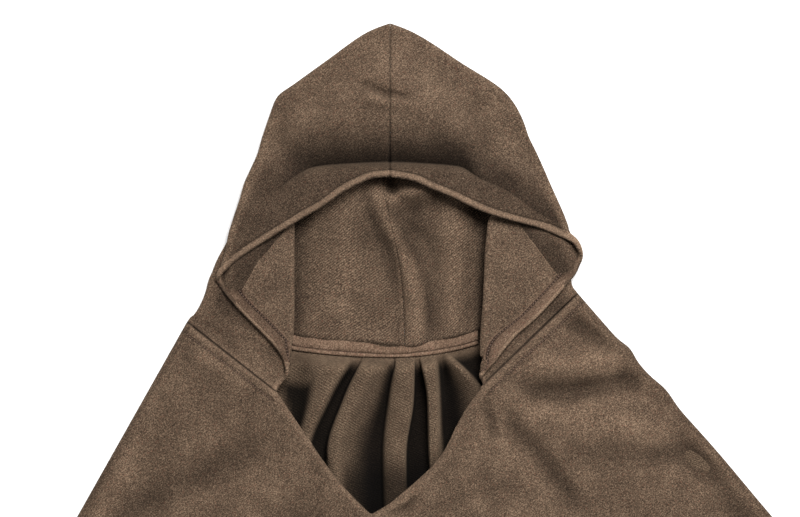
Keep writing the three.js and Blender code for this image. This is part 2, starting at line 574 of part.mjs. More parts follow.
// ---- body ----
// The hem is an arc through its two corners and its middle.
function hemPoint(share) {
  const [ax, ay] = HEM.left;
  const [bx, by] = HEM.middle;
  const [cx, cy] = HEM.right;
  const d = 2 * (ax * (by - cy) + bx * (cy - ay) + cx * (ay - by));
  const a2 = ax * ax + ay * ay;
  const b2 = bx * bx + by * by;
  const c2 = cx * cx + cy * cy;
  const x0 = (a2 * (by - cy) + b2 * (cy - ay) + c2 * (ay - by)) / d;
  const y0 = (a2 * (cx - bx) + b2 * (ax - cx) + c2 * (bx - ax)) / d;
  const from = atan2(ay - y0, ax - x0);
  const to = atan2(cy - y0, cx - x0);
  const angle = lerp(from, to, share);
  const radius = hypot(ax - x0, ay - y0);
  return [x0 + radius * cos(angle), y0 + radius * sin(angle)];
}

// Rows stand close together near the neck, where the folds are.
function rowShare(row, rows) {
  return (row / rows) ** ROW_CROWDING;
}

function backGrid() {
  const grid = [];
  const last = BACK_FOLDS.length - 1;
  for (let r = 0; r <= BACK_ROWS; r += 1) {
    const t = rowShare(r, BACK_ROWS);
    const row = [];
    for (let c = 0; c <= last * BACK_COLUMNS; c += 1) {
      const value = column => read(BACK_FOLDS, 'at', c / BACK_COLUMNS, column);
      const neckX = value('neckX');
      const neck = [neckX, neckSeamY(neckX) - SEAM_STEP];
      const mid = [value('midX'), value('midY')];
      const hem = hemPoint(value('hem'));
      const path = [0, 1].map(axis => read([
        { t: 0, place: neck[axis] },
        { t: BACK_MID, place: mid[axis] },
        { t: 1, place: hem[axis] },
      ], 't', t, 'place'));
      const sink = 1 - min(t / BACK_REACH, 1);
      const lift = value('lift') * ramp(0, BACK_RISE, t) * sink * sink;
      row.push([path[0] + value('lean') * lift, path[1], FLOOR + lift]);
    }
    grid.push(row);
  }
  return grid;
}

function waveHeight(x, y) {
  return FRONT_WAVES.reduce((sum, wave) => {
    const dx = wave.x2 - wave.x1;
    const dy = wave.y2 - wave.y1;
    const share = ((x - wave.x1) * dx + (y - wave.y1) * dy) / (dx * dx + dy * dy);
    const off = abs((x - wave.x1) * dy - (y - wave.y1) * dx) / hypot(dx, dy);
    const ends = ramp(-0.15, 0.25, share) * (1 - ramp(0.7, 1.2, share));
    return sum + wave.height * ends * Math.exp(-((off / wave.width) ** 2));
  }, 0);
}

// A point of the front, `at` along its upper edge and a share t of the way down to the hem.
function frontPoint(at, t) {
  const i = min(Math.floor(at), FRONT_EDGE.length - 2);
  const [x, y, z] = ['x', 'y', 'z'].map(column => lerp(FRONT_EDGE[i][column], FRONT_EDGE[i + 1][column], at - i));
  const place = mix([x, y], hemPoint(read(FRONT_EDGE, 'at', at, 'hem')), t);
  return [...place, lerp(FRONT_HEM, z, (1 - t) ** FRONT_SETTLE)];
}

// The front's round edge at one side, from its foot on the back up to its top.
function sideEdge(end, out, t) {
  const [x, y, z] = frontPoint(end, t);
  const radius = z - SIDE_FOOT;
  const centre = [x - out[0] * radius, y - out[1] * radius];
  return [[x, y, SIDE_FOOT], ...arc(centre, out, SIDE_FOOT, radius, 0, 90, SIDE_COLUMNS)];
}

function sideOutward(slope, side) {
  const angle = slope * PI / 180;
  return [side * sin(angle), cos(angle)];
}

function frontGrid() {
  const stations = [];
  FRONT_EDGE.forEach((row, i) => {
    for (let k = i ? 0 : 1; k < row.columns; k += 1) stations.push(i + k / row.columns);
  });
  const leftOut = sideOutward(SIDE_SLOPE.left, -1);
  const rightOut = sideOutward(SIDE_SLOPE.right, 1);
  const start = SEAM_STEP / SIDE_LENGTH;
  const grid = [];
  for (let r = 0; r <= FRONT_ROWS; r += 1) {
    const t = lerp(start, 1, rowShare(r, FRONT_ROWS));
    const middle = stations.map(at => {
      const [x, y, z] = frontPoint(at, t);
      return [x, y, z + waveHeight(x, y) * ramp(0, WAVE_START, t)];
    });
    const left = sideEdge(0, leftOut, t);
    const right = sideEdge(FRONT_EDGE.length - 1, rightOut, t);
    grid.push([...left, ...middle, ...right.reverse()]);
  }
  return grid;
}

// ---- assembly ----
const twill = new THREE.MeshStandardMaterial({ color: 0x6e5c4b, roughness: 0.95, metalness: 0 });
const twillRight = new THREE.MeshStandardMaterial({ color: 0x75624f, roughness: 0.95, metalness: 0 });
const twillInside = new THREE.MeshStandardMaterial({ color: 0x5f4f40, roughness: 0.95, metalness: 0 });
const pressed = new THREE.MeshStandardMaterial({ color: 0x7a6855, roughness: 0.9, metalness: 0 });

const poncho = new THREE.Group();
poncho.add(...hoodHalf(LEFT, 'left', twill, pressed));
poncho.add(...hoodHalf(RIGHT, 'right', twillRight, pressed));
poncho.add(neckBand(pressed));
poncho.add(cloth('front', frontGrid(), twill));
poncho.add(cloth('back', backGrid(), twillInside));

// The part's origin is the middle of its base.
const box = new THREE.Box3().setFromObject(poncho);
poncho.position.set(-(box.min.x + box.max.x) / 2, -(box.min.y + box.max.y) / 2, -box.min.z);

const group = new THREE.Group();
group.add(poncho);
export default group;
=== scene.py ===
"""Hooded poncho of fulled wool twill, laid flat on its back with the face opening up.

Lengths are in millimetres until a mesh is made. Each piece is worked out from the nape of the neck,
where x = 0 is the hood's centre seam and y = 0 the back of the neck, and then set into the frame.
"""
import math

import bpy
import numpy as np
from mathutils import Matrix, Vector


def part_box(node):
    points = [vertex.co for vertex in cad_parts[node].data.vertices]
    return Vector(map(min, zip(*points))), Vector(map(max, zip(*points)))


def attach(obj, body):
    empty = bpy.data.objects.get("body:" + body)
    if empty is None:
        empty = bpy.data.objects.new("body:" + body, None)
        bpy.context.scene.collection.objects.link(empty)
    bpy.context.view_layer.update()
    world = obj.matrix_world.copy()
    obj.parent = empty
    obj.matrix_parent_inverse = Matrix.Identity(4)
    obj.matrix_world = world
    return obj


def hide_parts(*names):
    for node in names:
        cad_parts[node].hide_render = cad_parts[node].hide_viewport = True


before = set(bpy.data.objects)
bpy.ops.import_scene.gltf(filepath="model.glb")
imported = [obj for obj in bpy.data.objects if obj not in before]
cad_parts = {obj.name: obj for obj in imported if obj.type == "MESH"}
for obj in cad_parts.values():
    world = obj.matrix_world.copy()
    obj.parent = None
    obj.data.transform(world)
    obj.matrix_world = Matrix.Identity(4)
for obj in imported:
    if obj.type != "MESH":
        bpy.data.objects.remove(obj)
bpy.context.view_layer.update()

# ---- Camera -------------------------------------------------------------------------------------
# Straight above the hood, as a garment is taken that lies on a table. The lens is long, so that
# heights of a few centimetres hardly shift the outlines.
MM = 0.001
SEAM_GAP = 0.3          # between the two halves of the hood
BAND_FOOT = 7.5         # the neck seam band starts this far below the nape
VIEW_WIDTH = 840
VIEW_CENTRE = (10.5, 96.1)
CAMERA_HEIGHT = 5000
SHARP_HEIGHT = 20       # height at which the view is exactly VIEW_WIDTH wide

nape = np.array([
    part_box("hood_left")[1][0] / MM + SEAM_GAP / 2,
    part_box("neck_seam_band")[0][1] / MM + BAND_FOOT,
    0.0,
])

camera = bpy.data.objects.new("camera", bpy.data.cameras.new("camera"))
camera.data.sensor_width = 36
camera.data.lens = 36 * (CAMERA_HEIGHT - SHARP_HEIGHT) / VIEW_WIDTH
camera.data.clip_start = 0.5
camera.location = (np.array([*VIEW_CENTRE, CAMERA_HEIGHT]) + nape) * MM
bpy.context.collection.objects.link(camera)
bpy.context.scene.camera = camera


# ---- Floor and light ----------------------------------------------------------------------------
# A white painted table top and three soft boxes. The strong one hangs high beyond the hood, so that
# folds throw short shade towards the hem; little light comes from everywhere, so deep folds stay dark.
FLOOR_COLOUR = "#FBFAF9"
FLOOR_SIZE = 9000
SOFT_BOXES = [
    # name, place from the nape, width, watts
    ("light_beyond", (800, 1900, 3600), 1700, 265),
    ("light_left", (-2300, 600, 1900), 1300, 24),
    ("light_right", (2300, 500, 1700), 1200, 34),
]
LIGHT_AIM = (0, 0, 0)
AMBIENT = 0.10


def linear(text):
    """Linear colour of an sRGB hex value."""
    parts = [int(text[i:i + 2], 16) / 255 for i in (1, 3, 5)]
    return [c / 12.92 if c < 0.04045 else ((c + 0.055) / 1.055) ** 2.4 for c in parts] + [1]


def add(tree, kind, settings=None, links=None):
    """Adds a shader node. A setting is one of its own, or else the value of a socket."""
    made = tree.nodes.new("ShaderNode" + kind)
    for key, value in (settings or {}).items():
        if isinstance(key, str) and hasattr(made, key):
            setattr(made, key, value)
        else:
            made.inputs[key].default_value = value
    for key, source in (links or {}).items():
        tree.links.new(source, made.inputs[key])
    return made


def new_material(name):
    material = bpy.data.materials.new(name)
    material.use_nodes = True
    material.node_tree.nodes.clear()
    return material, material.node_tree


# Matt white paint: it spreads the light and shows no gloss, but for a faint unevenness of the roller.
painted, tree = new_material("matt_white_paint_rolled")
place = add(tree, "TexCoord")
roller = add(tree, "TexNoise", {"Scale": 90, "Detail": 3}, {"Vector": place.outputs["Object"]})
grain = add(tree, "Bump", {"Strength": 0.05, "Distance": 0.0003}, {"Height": roller.outputs[0]})
paint = add(tree, "BsdfPrincipled", {"Base Color": linear(FLOOR_COLOUR), "Roughness": 0.9},
            {"Normal": grain.outputs["Normal"]})
add(tree, "OutputMaterial", {}, {"Surface": paint.outputs[0]})

half_floor = FLOOR_SIZE * MM / 2
floor_mesh = bpy.data.meshes.new("floor")
floor_mesh.from_pydata([(x * half_floor, y * half_floor, 0) for x, y in
                        [(-1, -1), (1, -1), (1, 1), (-1, 1)]], [], [(0, 1, 2, 3)])
floor_mesh.materials.append(painted)
floor = bpy.data.objects.new("floor", floor_mesh)
floor.location = (0, 0, -0.0002)
bpy.context.collection.objects.link(floor)

for name, at, width, watts in SOFT_BOXES:
    lamp = bpy.data.lights.new(name, "AREA")
    lamp.shape = "SQUARE"
    lamp.size = width * MM
    lamp.energy = watts
    box = bpy.data.objects.new(name, lamp)
    box.location = (np.array(at) + nape) * MM
    aim = Vector((np.array(LIGHT_AIM) + nape) * MM) - box.location
    box.rotation_euler = aim.to_track_quat("-Z", "Y").to_euler()
    bpy.context.collection.objects.link(box)

world = bpy.data.worlds.new("studio")
world.use_nodes = True
world.node_tree.nodes["Background"].inputs["Color"].default_value = (1, 1, 1, 1)
world.node_tree.nodes["Background"].inputs["Strength"].default_value = AMBIENT
bpy.context.scene.world = world
bpy.context.scene.view_settings.view_transform = "Standard"


# ---- Hood, two halves ---------------------------------------------------------------------------
# Each half is one cut piece of fulled wool twill, joined to the other by the centre seam over crown
# and back. Laid down, its side folds in to a ridge and back out as a flap, and the crown lies on
# top. Its face edge is turned in and stitched, which makes the thick round lip.
CLOTH = 2.0
FLOOR = CLOTH / 2
FOLD_RADIUS = 4
RIDGE_RADIUS = 3.5
TOP_RADIUS = 6
FLAP_TOP = 21
SPINE_BEND = 2.1
HEM_WIDTH = 15.5
HEM_REACH = 22          # along a rib, which may cross the face edge at a slant
BAND_WIDTH = 14.5       # of the seam allowances that lie on the hood along the neck
HOOD_ROWS = 190
HOOD_COLUMNS = {"under": 50, "fold": 8, "side": 28, "ridge": 10, "flap": 30, "over": 8, "crown": 46}
HEM_COLUMNS = 20
BEND_WEIGHT = 9
FLOOR_WEIGHT = 0.8
RIB_STEPS = {"under": 60, "arc": 24, "side": 30, "flap": 36, "crown": 72}
STATION_TESTS = 301
CORNER_CROWDING = 1.6   # ribs stand this much closer at the corner of the face edge
CORNER_MARGIN = 0.02
NECK_CROWDING = 8       # and at the neck seam, up to the share NECK_MARGIN of the face edge
NECK_MARGIN = 0.007
OUTER_FOLD_PULL = 0.7   # how much the outer fold counts beside the face edge when ribs are placed
FOLDS_SETTLE = 0.07     # share of the face edge over which the columns come to keep their folds
CROWN_SETTLE = 0.16
LIP_WIDTH = (4.6, 6.5)  # round lip of the face edge, on the flaps and on the crown
LIP_SWELL = (1.0, 1.3)  # what it adds to each face of the cloth


def columns(names, *rows):
    """A table with a named column for each word of names."""
    return dict(zip(names.split(), np.array(rows, float).T))


# x is measured outward from the centre seam. at runs along the face edge from the neck to the crown.
# A rib starts at spine on the centre seam, runs under the back to the outer fold, in to the ridge
# beside the face, out to the upper fold called over, and back across the crown to the face edge. turn
# is the direction in which it meets the folds, in degrees from level.
OUTLINE = "at spine_y fold_x fold_y ridge_x ridge_y ridge_z over_x over_y turn"
LEFT = {
    "side": -1,
    "ridge_roll": (0.02, 0.085),
    "corner": (0.385, 0.46),
    "fade": (0.66, 0.9),
    "outline": columns(
        OUTLINE,
        (0.00, -8, 213, 29, 116, -43, 30, 200, 60, 28),
        (0.06, 0, 210, 33, 108, -25, 28, 196, 64, 27),
        (0.11, 7, 206, 37, 105, -7, 26.5, 192, 68, 26),
        (0.20, 21, 200, 46, 102, 15, 26, 188, 72, 25),
        (0.32, 44, 194, 60, 101, 44, 26, 181, 64, 24),
        (0.385, 60, 191, 71, 101, 62, 26, 179.5, 64, 22),
        (0.41, 66, 190, 75, 101, 69, 26, 181, 70.5, 22),
        (0.435, 73, 188, 79, 101, 76, 26, 180.5, 77, 22),
        (0.46, 80, 186, 84, 101, 83, 26, 178, 85.5, 22),
        (0.50, 92, 182, 94, 101, 97, 25.5, 173.5, 100, 20),
        (0.61, 124, 169, 118, 101, 128, 24, 169, 123, 18),
        (0.67, 142, 163, 134, 102, 145, 22.5, 164, 139, 17),
        (0.73, 166, 158, 153, 103, 162, 21, 159, 158, 18),
        (0.79, 194, 155, 173, 104, 180, 19, 156, 176, 20),
        (0.85, 236, 142, 206, 104, 206, 17, 143, 207, 23),
        (0.895, 271, 124, 252, 101, 240, 16.2, 124, 252, 28),
        (0.91, 283, 118.5, 266, 100, 250, 16, 118.5, 266, 38),
        (0.925, 292, 102, 278, 90, 262, 15.8, 102, 278, 50),
        (0.955, 312, 66, 304, 60, 290, 15, 66, 304, 58),
        (0.985, 328, 21, 335, 19, 321, 14.5, 21, 335, 78),
        (1.00, 334, 0, 343, 0, 330, 14, 0, 343, 90),
    ),
    "edge": columns(
        "at x y z",
        (0.00, 119, -43, 30), (0.085, 110, -15, 26), (0.11, 112, -8, 25.5), (0.15, 120, 3, 24.5),
        (0.20, 134, 18, 22.5), (0.26, 149, 33, 20.5), (0.32, 163.5, 48, 18.5), (0.36, 171.5, 57.5, 16.5),
        (0.385, 175.8, 64, 14), (0.46, 173.5, 80.5, 23), (0.485, 166.5, 90, 24.5), (0.515, 156, 98, 26.5),
        (0.55, 144, 106, 28), (0.61, 126, 117.5, 31), (0.67, 107, 129, 33), (0.73, 88, 140.5, 35),
        (0.79, 69, 151.5, 37), (0.855, 51, 164.5, 39), (0.915, 33, 174.5, 40), (0.965, 15, 181, 40),
        (1.00, 0, 182, 40),
    ),
}
RIGHT = {
    "side": 1,
    "ridge_roll": (0.008, 0.05),
    "corner": (0.4, 0.475),
    "fade": (0.62, 0.88),
    "outline": columns(
        OUTLINE,
        (0.00, -8, 197, 59, 94, -36, 30, 204, 88, 32),
        (0.06, 0, 194, 63, 95, -22, 27.5, 204, 90, 31),
        (0.15, 13, 191, 69, 95, 2, 26, 203, 93, 28),
        (0.25, 31, 190, 77, 96, 25, 26, 203, 97, 25),
        (0.35, 52, 191, 86, 98, 50, 26, 200, 78, 22),
        (0.40, 64, 191.5, 91, 98.5, 65, 26, 200, 84, 20),
        (0.425, 71, 192, 94.5, 99, 71, 26, 201.6, 93, 20),
        (0.45, 78, 192, 98.5, 99.2, 79, 26, 200.8, 102.5, 22),
        (0.475, 85, 191, 103, 99.6, 86, 26, 197.6, 112.5, 25),
        (0.52, 99, 189, 112, 100, 101, 25.5, 190, 121, 28),
        (0.58, 119, 184, 126, 102, 121, 24, 187, 130, 24),
        (0.67, 150, 176, 150, 104, 147, 22, 178, 154, 25),
        (0.73, 176, 169, 172, 104, 168, 20.5, 171, 174, 25),
        (0.78, 203, 162, 194, 103, 188, 19, 163, 195, 26),
        (0.83, 236, 150, 221, 102, 212, 17, 151, 221, 26),
        (0.89, 280, 124, 267, 100, 250, 16, 124, 267, 38),
        (0.945, 311, 72, 303, 60, 290, 15, 72, 303, 58),
        (0.985, 328, 21, 335, 19, 321, 14.5, 21, 335, 78),
        (1.00, 334, 0, 343, 0, 330, 14, 0, 343, 90),
    ),
    "edge": columns(
        "at x y z",
        (0.00, 97, -37, 30), (0.05, 106, -18, 26), (0.10, 118, -2, 25), (0.15, 130, 13, 23.5),
        (0.23, 154, 34, 21), (0.295, 171, 52, 18.5), (0.37, 191, 75.5, 16), (0.40, 196.2, 82.6, 14.5),
        (0.475, 194, 111, 23), (0.50, 186.5, 115.5, 24), (0.525, 177, 119.5, 26), (0.577, 159, 127.5, 29),
        (0.626, 140, 132.5, 31), (0.675, 121, 137.5, 33), (0.725, 102, 143.5, 35), (0.778, 83, 151.5, 37),
        (0.83, 64, 161, 39), (0.877, 46, 168, 40), (0.94, 23, 178, 40), (1.00, 0, 182, 40),
    ),
}

# The crown along x: where its crease lies, where its rim ends, and how high each is.
CROWN = columns(
    "x crease_y rim_y crease rim",
    (-185, 166, 84, 21, 22), (-164, 168, 102, 21, 27), (-125, 166, 124, 23, 33),
    (-100, 182, 133, 24, 36), (-80, 192, 146, 14, 38), (-51, 195, 164, 11, 41),
    (0, 197, 182, 10, 42), (46, 195, 168, 11, 41), (74, 192, 157, 13, 40),
    (92, 181, 147, 23, 38), (121, 168, 138, 25, 35), (150, 148, 133, 26, 32),
    (177, 132, 123, 25, 28), (205, 112, 105, 22, 23),
)
CROWN_HEIGHT = 36
CROWN_SLOPE = 55        # from the crease up to the crown
CROWN_SHOULDER = 66     # over which the crown rises from its outer fold
CROWN_ROUND = 2.4       # how round the crown rises from its crease
CREASE_STEP = 3         # how quickly the band between crease and rim rises
BAND_FALL = 5           # how much higher the band is at the rim than at the crease
# Painted shade on the crown above its crease, along x.
CREASE_SHADE = columns(
    "x dark",
    (-185, 0.22), (-150, 0.34), (-125, 0.5), (-95, 0.76), (0, 0.78), (75, 0.8), (110, 0.66), (150, 0.66),
    (205, 0.4),
)
CREASE_REACH = 36
BAND_DARK = 0.4         # painted shade on the band between crease and rim

# Creases: the line each follows, its height, and how far it spreads left and right of the line.
SEAM_WANDER = columns(
    "y x",
    (-20, 15), (20, 15), (68, 12.5), (105, 7), (142, -1), (172, -7), (220, 0), (360, 0),
)
INSIDE_CREASES = [
    ([(-11, 190), (-8, 150), (-1, 122), (7, 90), (12, 50), (15, -24)], 9, 8, 10),
    ([(14, 110), (20, 80), (23, 50), (24, 10)], 3, 5, 4),
    ([(66, 172), (64, 120), (62, 60), (60, -10)], 7, 16, 15),
    ([(-44, 158), (-52, 90), (-58, 10)], 3.4, 10, 20),
    ([(-24, 190), (-19, 140), (-10, 90), (-4, 40)], -3.5, 9, 5),
    ([(-6, 152), (26, 166), (62, 172)], 13, 5, 9),
    ([(15, 146), (24, 116), (28, 90), (30, 50), (30, 0)], -6, 4, 6),
    ([(24, 172), (27, 130), (42, 70)], -5, 9, 20),
    ([(2, 186), (9, 170), (17, 148)], -9, 7, 6),
    ([(-92, 60), (-88, 18)], 1.4, 9, 9),
]
CROWN_CREASES = [
    ([(-36, 284), (-14, 272), (6, 264)], -7, 5, 4.5),
    ([(-30, 268), (-12, 261), (4, 256)], 6, 4.5, 5),
    ([(-4, 272), (12, 266), (26, 267)], -4, 3.5, 4),
    ([(-4, 264), (16, 257), (34, 259)], 2.6, 4, 5),
    ([(80, 275), (99, 228), (96, 182)], -9, 18, 20),
    ([(62, 205), (66, 240), (60, 285)], 2.2, 16, 14),
    ([(-132, 268), (-116, 215), (-84, 186)], -6, 14, 15),
    ([(-62, 210), (-58, 250), (-40, 300)], 2, 18, 14),
    ([(-140, 168), (-165, 150), (-186, 128)], -2.2, 7, 9),
    ([(96, 196), (130, 176), (165, 150)], -3, 6, 9),
]
FLAP_CREASES = [
    ([(-96, 128), (-128, 90), (-140, 40)], 1.6, 22, 12),
    ([(128, 124), (140, 70), (128, 20)], 1.6, 14, 24),
]
# Past this line the cloth of a flap rises towards the corner of the face edge; a painted highlight runs along
# the line, and painted shade lies past it.
FLAP_BENDS = {
    "left": [(-108, 128), (-126.7, 105.5), (-138, 93), (-150.6, 71.4), (-159, 56)],
    "right": [(181, 72), (156, 105), (134, 134), (118, 154)],
}
FLAP_RISE = 0.2
FLAP_REACH = 22
SIDE_CREASES = [
    ([(-200, 52), (-150, -2), (-120, -34)], 2.2, 7, 7),
    ([(196, 78), (160, 30), (110, -20)], 1.6, 6, 6),
]


def lerp(a, b, share):
    return a + (b - a) * share


def ramp(start, end, x):
    share = np.clip((x - start) / (end - start), 0, 1)
    return share * share * (3 - 2 * share)


def bell(x, width):
    """1 where x is 0, falling off to nothing over about twice the width on both sides."""
    return np.exp(-(x / width) ** 2)


def read(table, key, at, column):
    """A table's column where its key equals at, on a smooth curve that never swings past its rows."""
    x, y = table[key], table[column]
    slope = np.diff(y) / np.diff(x)
    before, after = slope[:-1], slope[1:]
    same_way = before * after > 0
    inner = np.where(same_way, 2 * before * after / np.where(same_way, before + after, 1), 0)
    tangent = np.concatenate([slope[:1], inner, slope[-1:]])
    i = np.clip(np.searchsorted(x, at) - 1, 0, len(x) - 2)
    span = x[i + 1] - x[i]
    s = np.clip((at - x[i]) / span, 0, 1)
    return ((1 + 2 * s) * (1 - s) ** 2 * y[i] + s * s * (3 - 2 * s) * y[i + 1]
            + span * (s * (1 - s) ** 2 * tangent[i] - s * s * (1 - s) * tangent[i + 1]))


def neck_seam_y(x):
    """The seam between hood and body, from the centre seam out to a shoulder."""
    x = np.asarray(x, float)
    y = np.zeros_like(x)
    for half, own in ((LEFT, x < 0), (RIGHT, x >= 0)):
        first = {name: values[0] for name, values in half["outline"].items()}
        turn = math.radians(first["turn"])
        end_x = first["fold_x"] - FOLD_RADIUS * math.cos(turn)
        end_y = first["fold_y"] - FOLD_RADIUS * math.sin(turn)
        share = np.minimum(np.abs(x) / end_x, 1.05) ** SPINE_BEND
        y = np.where(own, lerp(first["spine_y"], end_y, share), y)
    return y


def beside(line, x, y):
    """How far each place lies to the right of a line, and what share of the line it lies at."""
    steps = [math.dist(a, b) for a, b in zip(line, line[1:])]
    nearest = np.full(x.shape, 1e9)
    offset = np.zeros_like(x)
    share = np.zeros_like(x)
    for k, (a, b) in enumerate(zip(line, line[1:])):
        dx, dy = (b[0] - a[0]) / steps[k], (b[1] - a[1]) / steps[k]
        along = np.clip((x - a[0]) * dx + (y - a[1]) * dy, 0, steps[k])
        away = np.hypot(x - a[0] - along * dx, y - a[1] - along * dy)
        closer = away < nearest
        side = np.sign((x - a[0]) * dy - (y - a[1]) * dx)
        nearest = np.where(closer, away, nearest)
        offset = np.where(closer, away * side, offset)
        share = np.where(closer, (sum(steps[:k]) + along) / sum(steps), share)
    return offset, share


def creases(rows, x, y):
    """Height that the creases add at each place. They fade out towards both ends of their lines."""
    total = np.zeros_like(x)
    for line, height, left, right in rows:
        offset, share = beside(line, x, y)
        spread = np.where(offset < 0, left, right)
        total += height * ramp(0, 0.28, share) * ramp(0, 0.28, 1 - share) * bell(offset, spread)
    return total


def crown_height(x, y):
    crease_y = read(CROWN, "x", x, "crease_y")
    crease = read(CROWN, "x", x, "crease")
    rim = read(CROWN, "x", x, "rim")
    below = crease_y - y
    share = np.clip(below / (crease_y - read(CROWN, "x", x, "rim_y")), 0, 1.1)
    band = lerp(crease, rim - BAND_FALL * (1 - share), 1 - np.exp(-np.maximum(below, 0) / CREASE_STEP))
    rise = np.clip(-below / CROWN_SLOPE, 0, 1)
    crown = lerp(crease, CROWN_HEIGHT, 1 - (1 - rise) ** CROWN_ROUND)
    return np.where(below > 0, band, crown)


def arc(centre, outward, middle, radius, start, end, steps):
    """A round fold: points from angle start to end about a level axis, outward being angle 0."""
    angle = np.radians(np.linspace(start, end, steps + 1)[1:, None])
    level = centre[None, :] + outward[None, :] * radius * np.cos(angle)
    return np.hstack([level, middle + radius * np.sin(angle)])


def run(start, end, steps):
    share = np.linspace(0, 1, steps + 1)[1:, None]
    return lerp(np.array(start)[None, :], np.array(end)[None, :], share)


def hood_rib(half, at):
    """One rib of a half: under the back, round the outer fold, in to the ridge, out along the flap,
    round the upper fold and over the crown, as far as the face edge cuts it off. The fourth column
    tells the stretch: 0 to 1 on the floor, and so on to 6 to 7 on the crown."""
    v = {name: float(read(half["outline"], "at", at, name)) for name in OUTLINE.split()}
    edge = np.array([float(read(half["edge"], "at", at, axis)) for axis in "xyz"])
    turn = math.radians(v["turn"])
    out = np.array([math.cos(turn), math.sin(turn)])
    fold = np.array([v["fold_x"], v["fold_y"]])
    over = np.array([v["over_x"], v["over_y"]])
    gusset = float(1 - ramp(*half["fade"], at))
    low_centre = fold - out * lerp(TOP_RADIUS, FOLD_RADIUS, gusset)

    under_stage = np.linspace(0, 1, RIB_STEPS["under"] + 1)
    under = np.stack([
        lerp(SEAM_GAP / 2, low_centre[0], under_stage),
        lerp(v["spine_y"], low_centre[1], under_stage ** SPINE_BEND),
        np.full_like(under_stage, FLOOR),
    ], axis=1)

    rolled = 180 * float(ramp(*half["ridge_roll"], at))
    turned = 180 * float(ramp(*half["corner"], at))
    ridge_centre = np.array([v["ridge_x"] + RIDGE_RADIUS, v["ridge_y"]])
    ridge_foot = v["ridge_z"] - 2 * RIDGE_RADIUS * float(ramp(0, half["ridge_roll"][0], at))
    fold_centre = fold - out * FOLD_RADIUS
    over_centre = over - out * FOLD_RADIUS
    stretches = [
        arc(fold_centre, out, FLOOR + FOLD_RADIUS, FOLD_RADIUS, -90, 90, RIB_STEPS["arc"]),
        run([*fold_centre, FLOOR + 2 * FOLD_RADIUS], [*ridge_centre, ridge_foot], RIB_STEPS["side"]),
    ]
    if rolled > 0:
        stretches.append(arc(ridge_centre, np.array([-1, 0]), ridge_foot + RIDGE_RADIUS,
                             RIDGE_RADIUS, -90, rolled - 90, RIB_STEPS["arc"]))
    if rolled == 180:
        foot = [*over_centre, FLAP_TOP - 2 * FOLD_RADIUS]
        end = edge if at < half["corner"][0] else foot
        stretches.append(run(stretches[-1][-1], end, RIB_STEPS["flap"]))
    if turned > 0:
        stretches.append(arc(over_centre, out, FLAP_TOP - FOLD_RADIUS, FOLD_RADIUS,
                             -90, turned - 90, RIB_STEPS["arc"]))
    stage = np.concatenate([under_stage] + [
        k + 1 + np.linspace(0, 1, len(points) + 1)[1:] for k, points in enumerate(stretches)])
    folded = np.vstack(stretches)
    if gusset < 1:
        single = arc(fold - out * TOP_RADIUS, out, FLOOR + TOP_RADIUS, TOP_RADIUS, -90, 90, len(folded))
        folded = lerp(single, folded, gusset)
    path = np.vstack([under, folded])
    ends = np.cumsum([RIB_STEPS["under"]] + [len(points) for points in stretches])
    ends = np.concatenate([ends, np.full(6 - len(ends), ends[-1])])
    if turned == 180:
        crown = run(path[-1], edge, RIB_STEPS["crown"])
        away = np.hypot(*(crown[:, :2] - path[-1, :2]).T)
        top = crown_height(half["side"] * crown[:, 0], crown[:, 1])
        crown[:, 2] = lerp(path[-1, 2], top, ramp(0, CROWN_SHOULDER, away))
        path = np.vstack([path, crown])
        stage = np.concatenate([stage, 6 + np.linspace(0, 1, RIB_STEPS["crown"] + 1)[1:]])
    path[:, 0] = np.maximum(path[:, 0], SEAM_GAP / 2)
    return np.column_stack([path, stage]), ends, gusset


def lengths(path):
    return np.concatenate([[0], np.cumsum(np.linalg.norm(np.diff(path[:, :3], axis=0), axis=1))])


def rib_costs(path):
    """Running cost along a rib, by which its points are spread: bends cost more, the floor less."""
    step = np.diff(path[:, :3], axis=0)
    length = np.linalg.norm(step, axis=1)
    flat = np.maximum(path[1:, 2], path[:-1, 2]) < FLOOR + 0.01
    unit = step / np.maximum(length, 1e-6)[:, None]
    bend = np.append(2 * np.arcsin(np.clip(np.linalg.norm(np.diff(unit, axis=0), axis=1) / 2, 0, 1)), 0)
    bend = np.where((length > 0.01) & np.append(length[1:] > 0.01, False), bend, 0)
    return np.concatenate([[0], np.cumsum(length * np.where(flat, FLOOR_WEIGHT, 1) + bend * BEND_WEIGHT)])


def even_steps(marks, counts):
    steps = [np.array(marks[:1])]
    for start, end, count in zip(marks, marks[1:], counts):
        steps.append(np.linspace(start, end, count + 1)[1:])
    return np.concatenate(steps)


def hood_stations(half):
    """Where the ribs stand: evenly along the face edge and the outer fold together."""
    at = np.linspace(0, 1, STATION_TESTS)
    end = np.array([hood_rib(half, a)[0][-1, :3] for a in at])
    fold = np.array([[float(read(half["outline"], "at", a, c)) for c in ("fold_x", "fold_y")] for a in at])
    corner_start, corner_end = half["corner"]
    near_corner = (at > corner_start - CORNER_MARGIN) & (at < corner_end + CORNER_MARGIN)
    cost = np.linalg.norm(np.diff(end, axis=0), axis=1) * np.where(near_corner[1:], CORNER_CROWDING, 1)
    cost += OUTER_FOLD_PULL * np.linalg.norm(np.diff(fold, axis=0), axis=1)
    cost *= np.where(at[1:] < NECK_MARGIN, NECK_CROWDING, 1)
    total = np.concatenate([[0], np.cumsum(cost)])
    return np.interp(np.linspace(0, total[-1], HOOD_ROWS + 1), total, at)


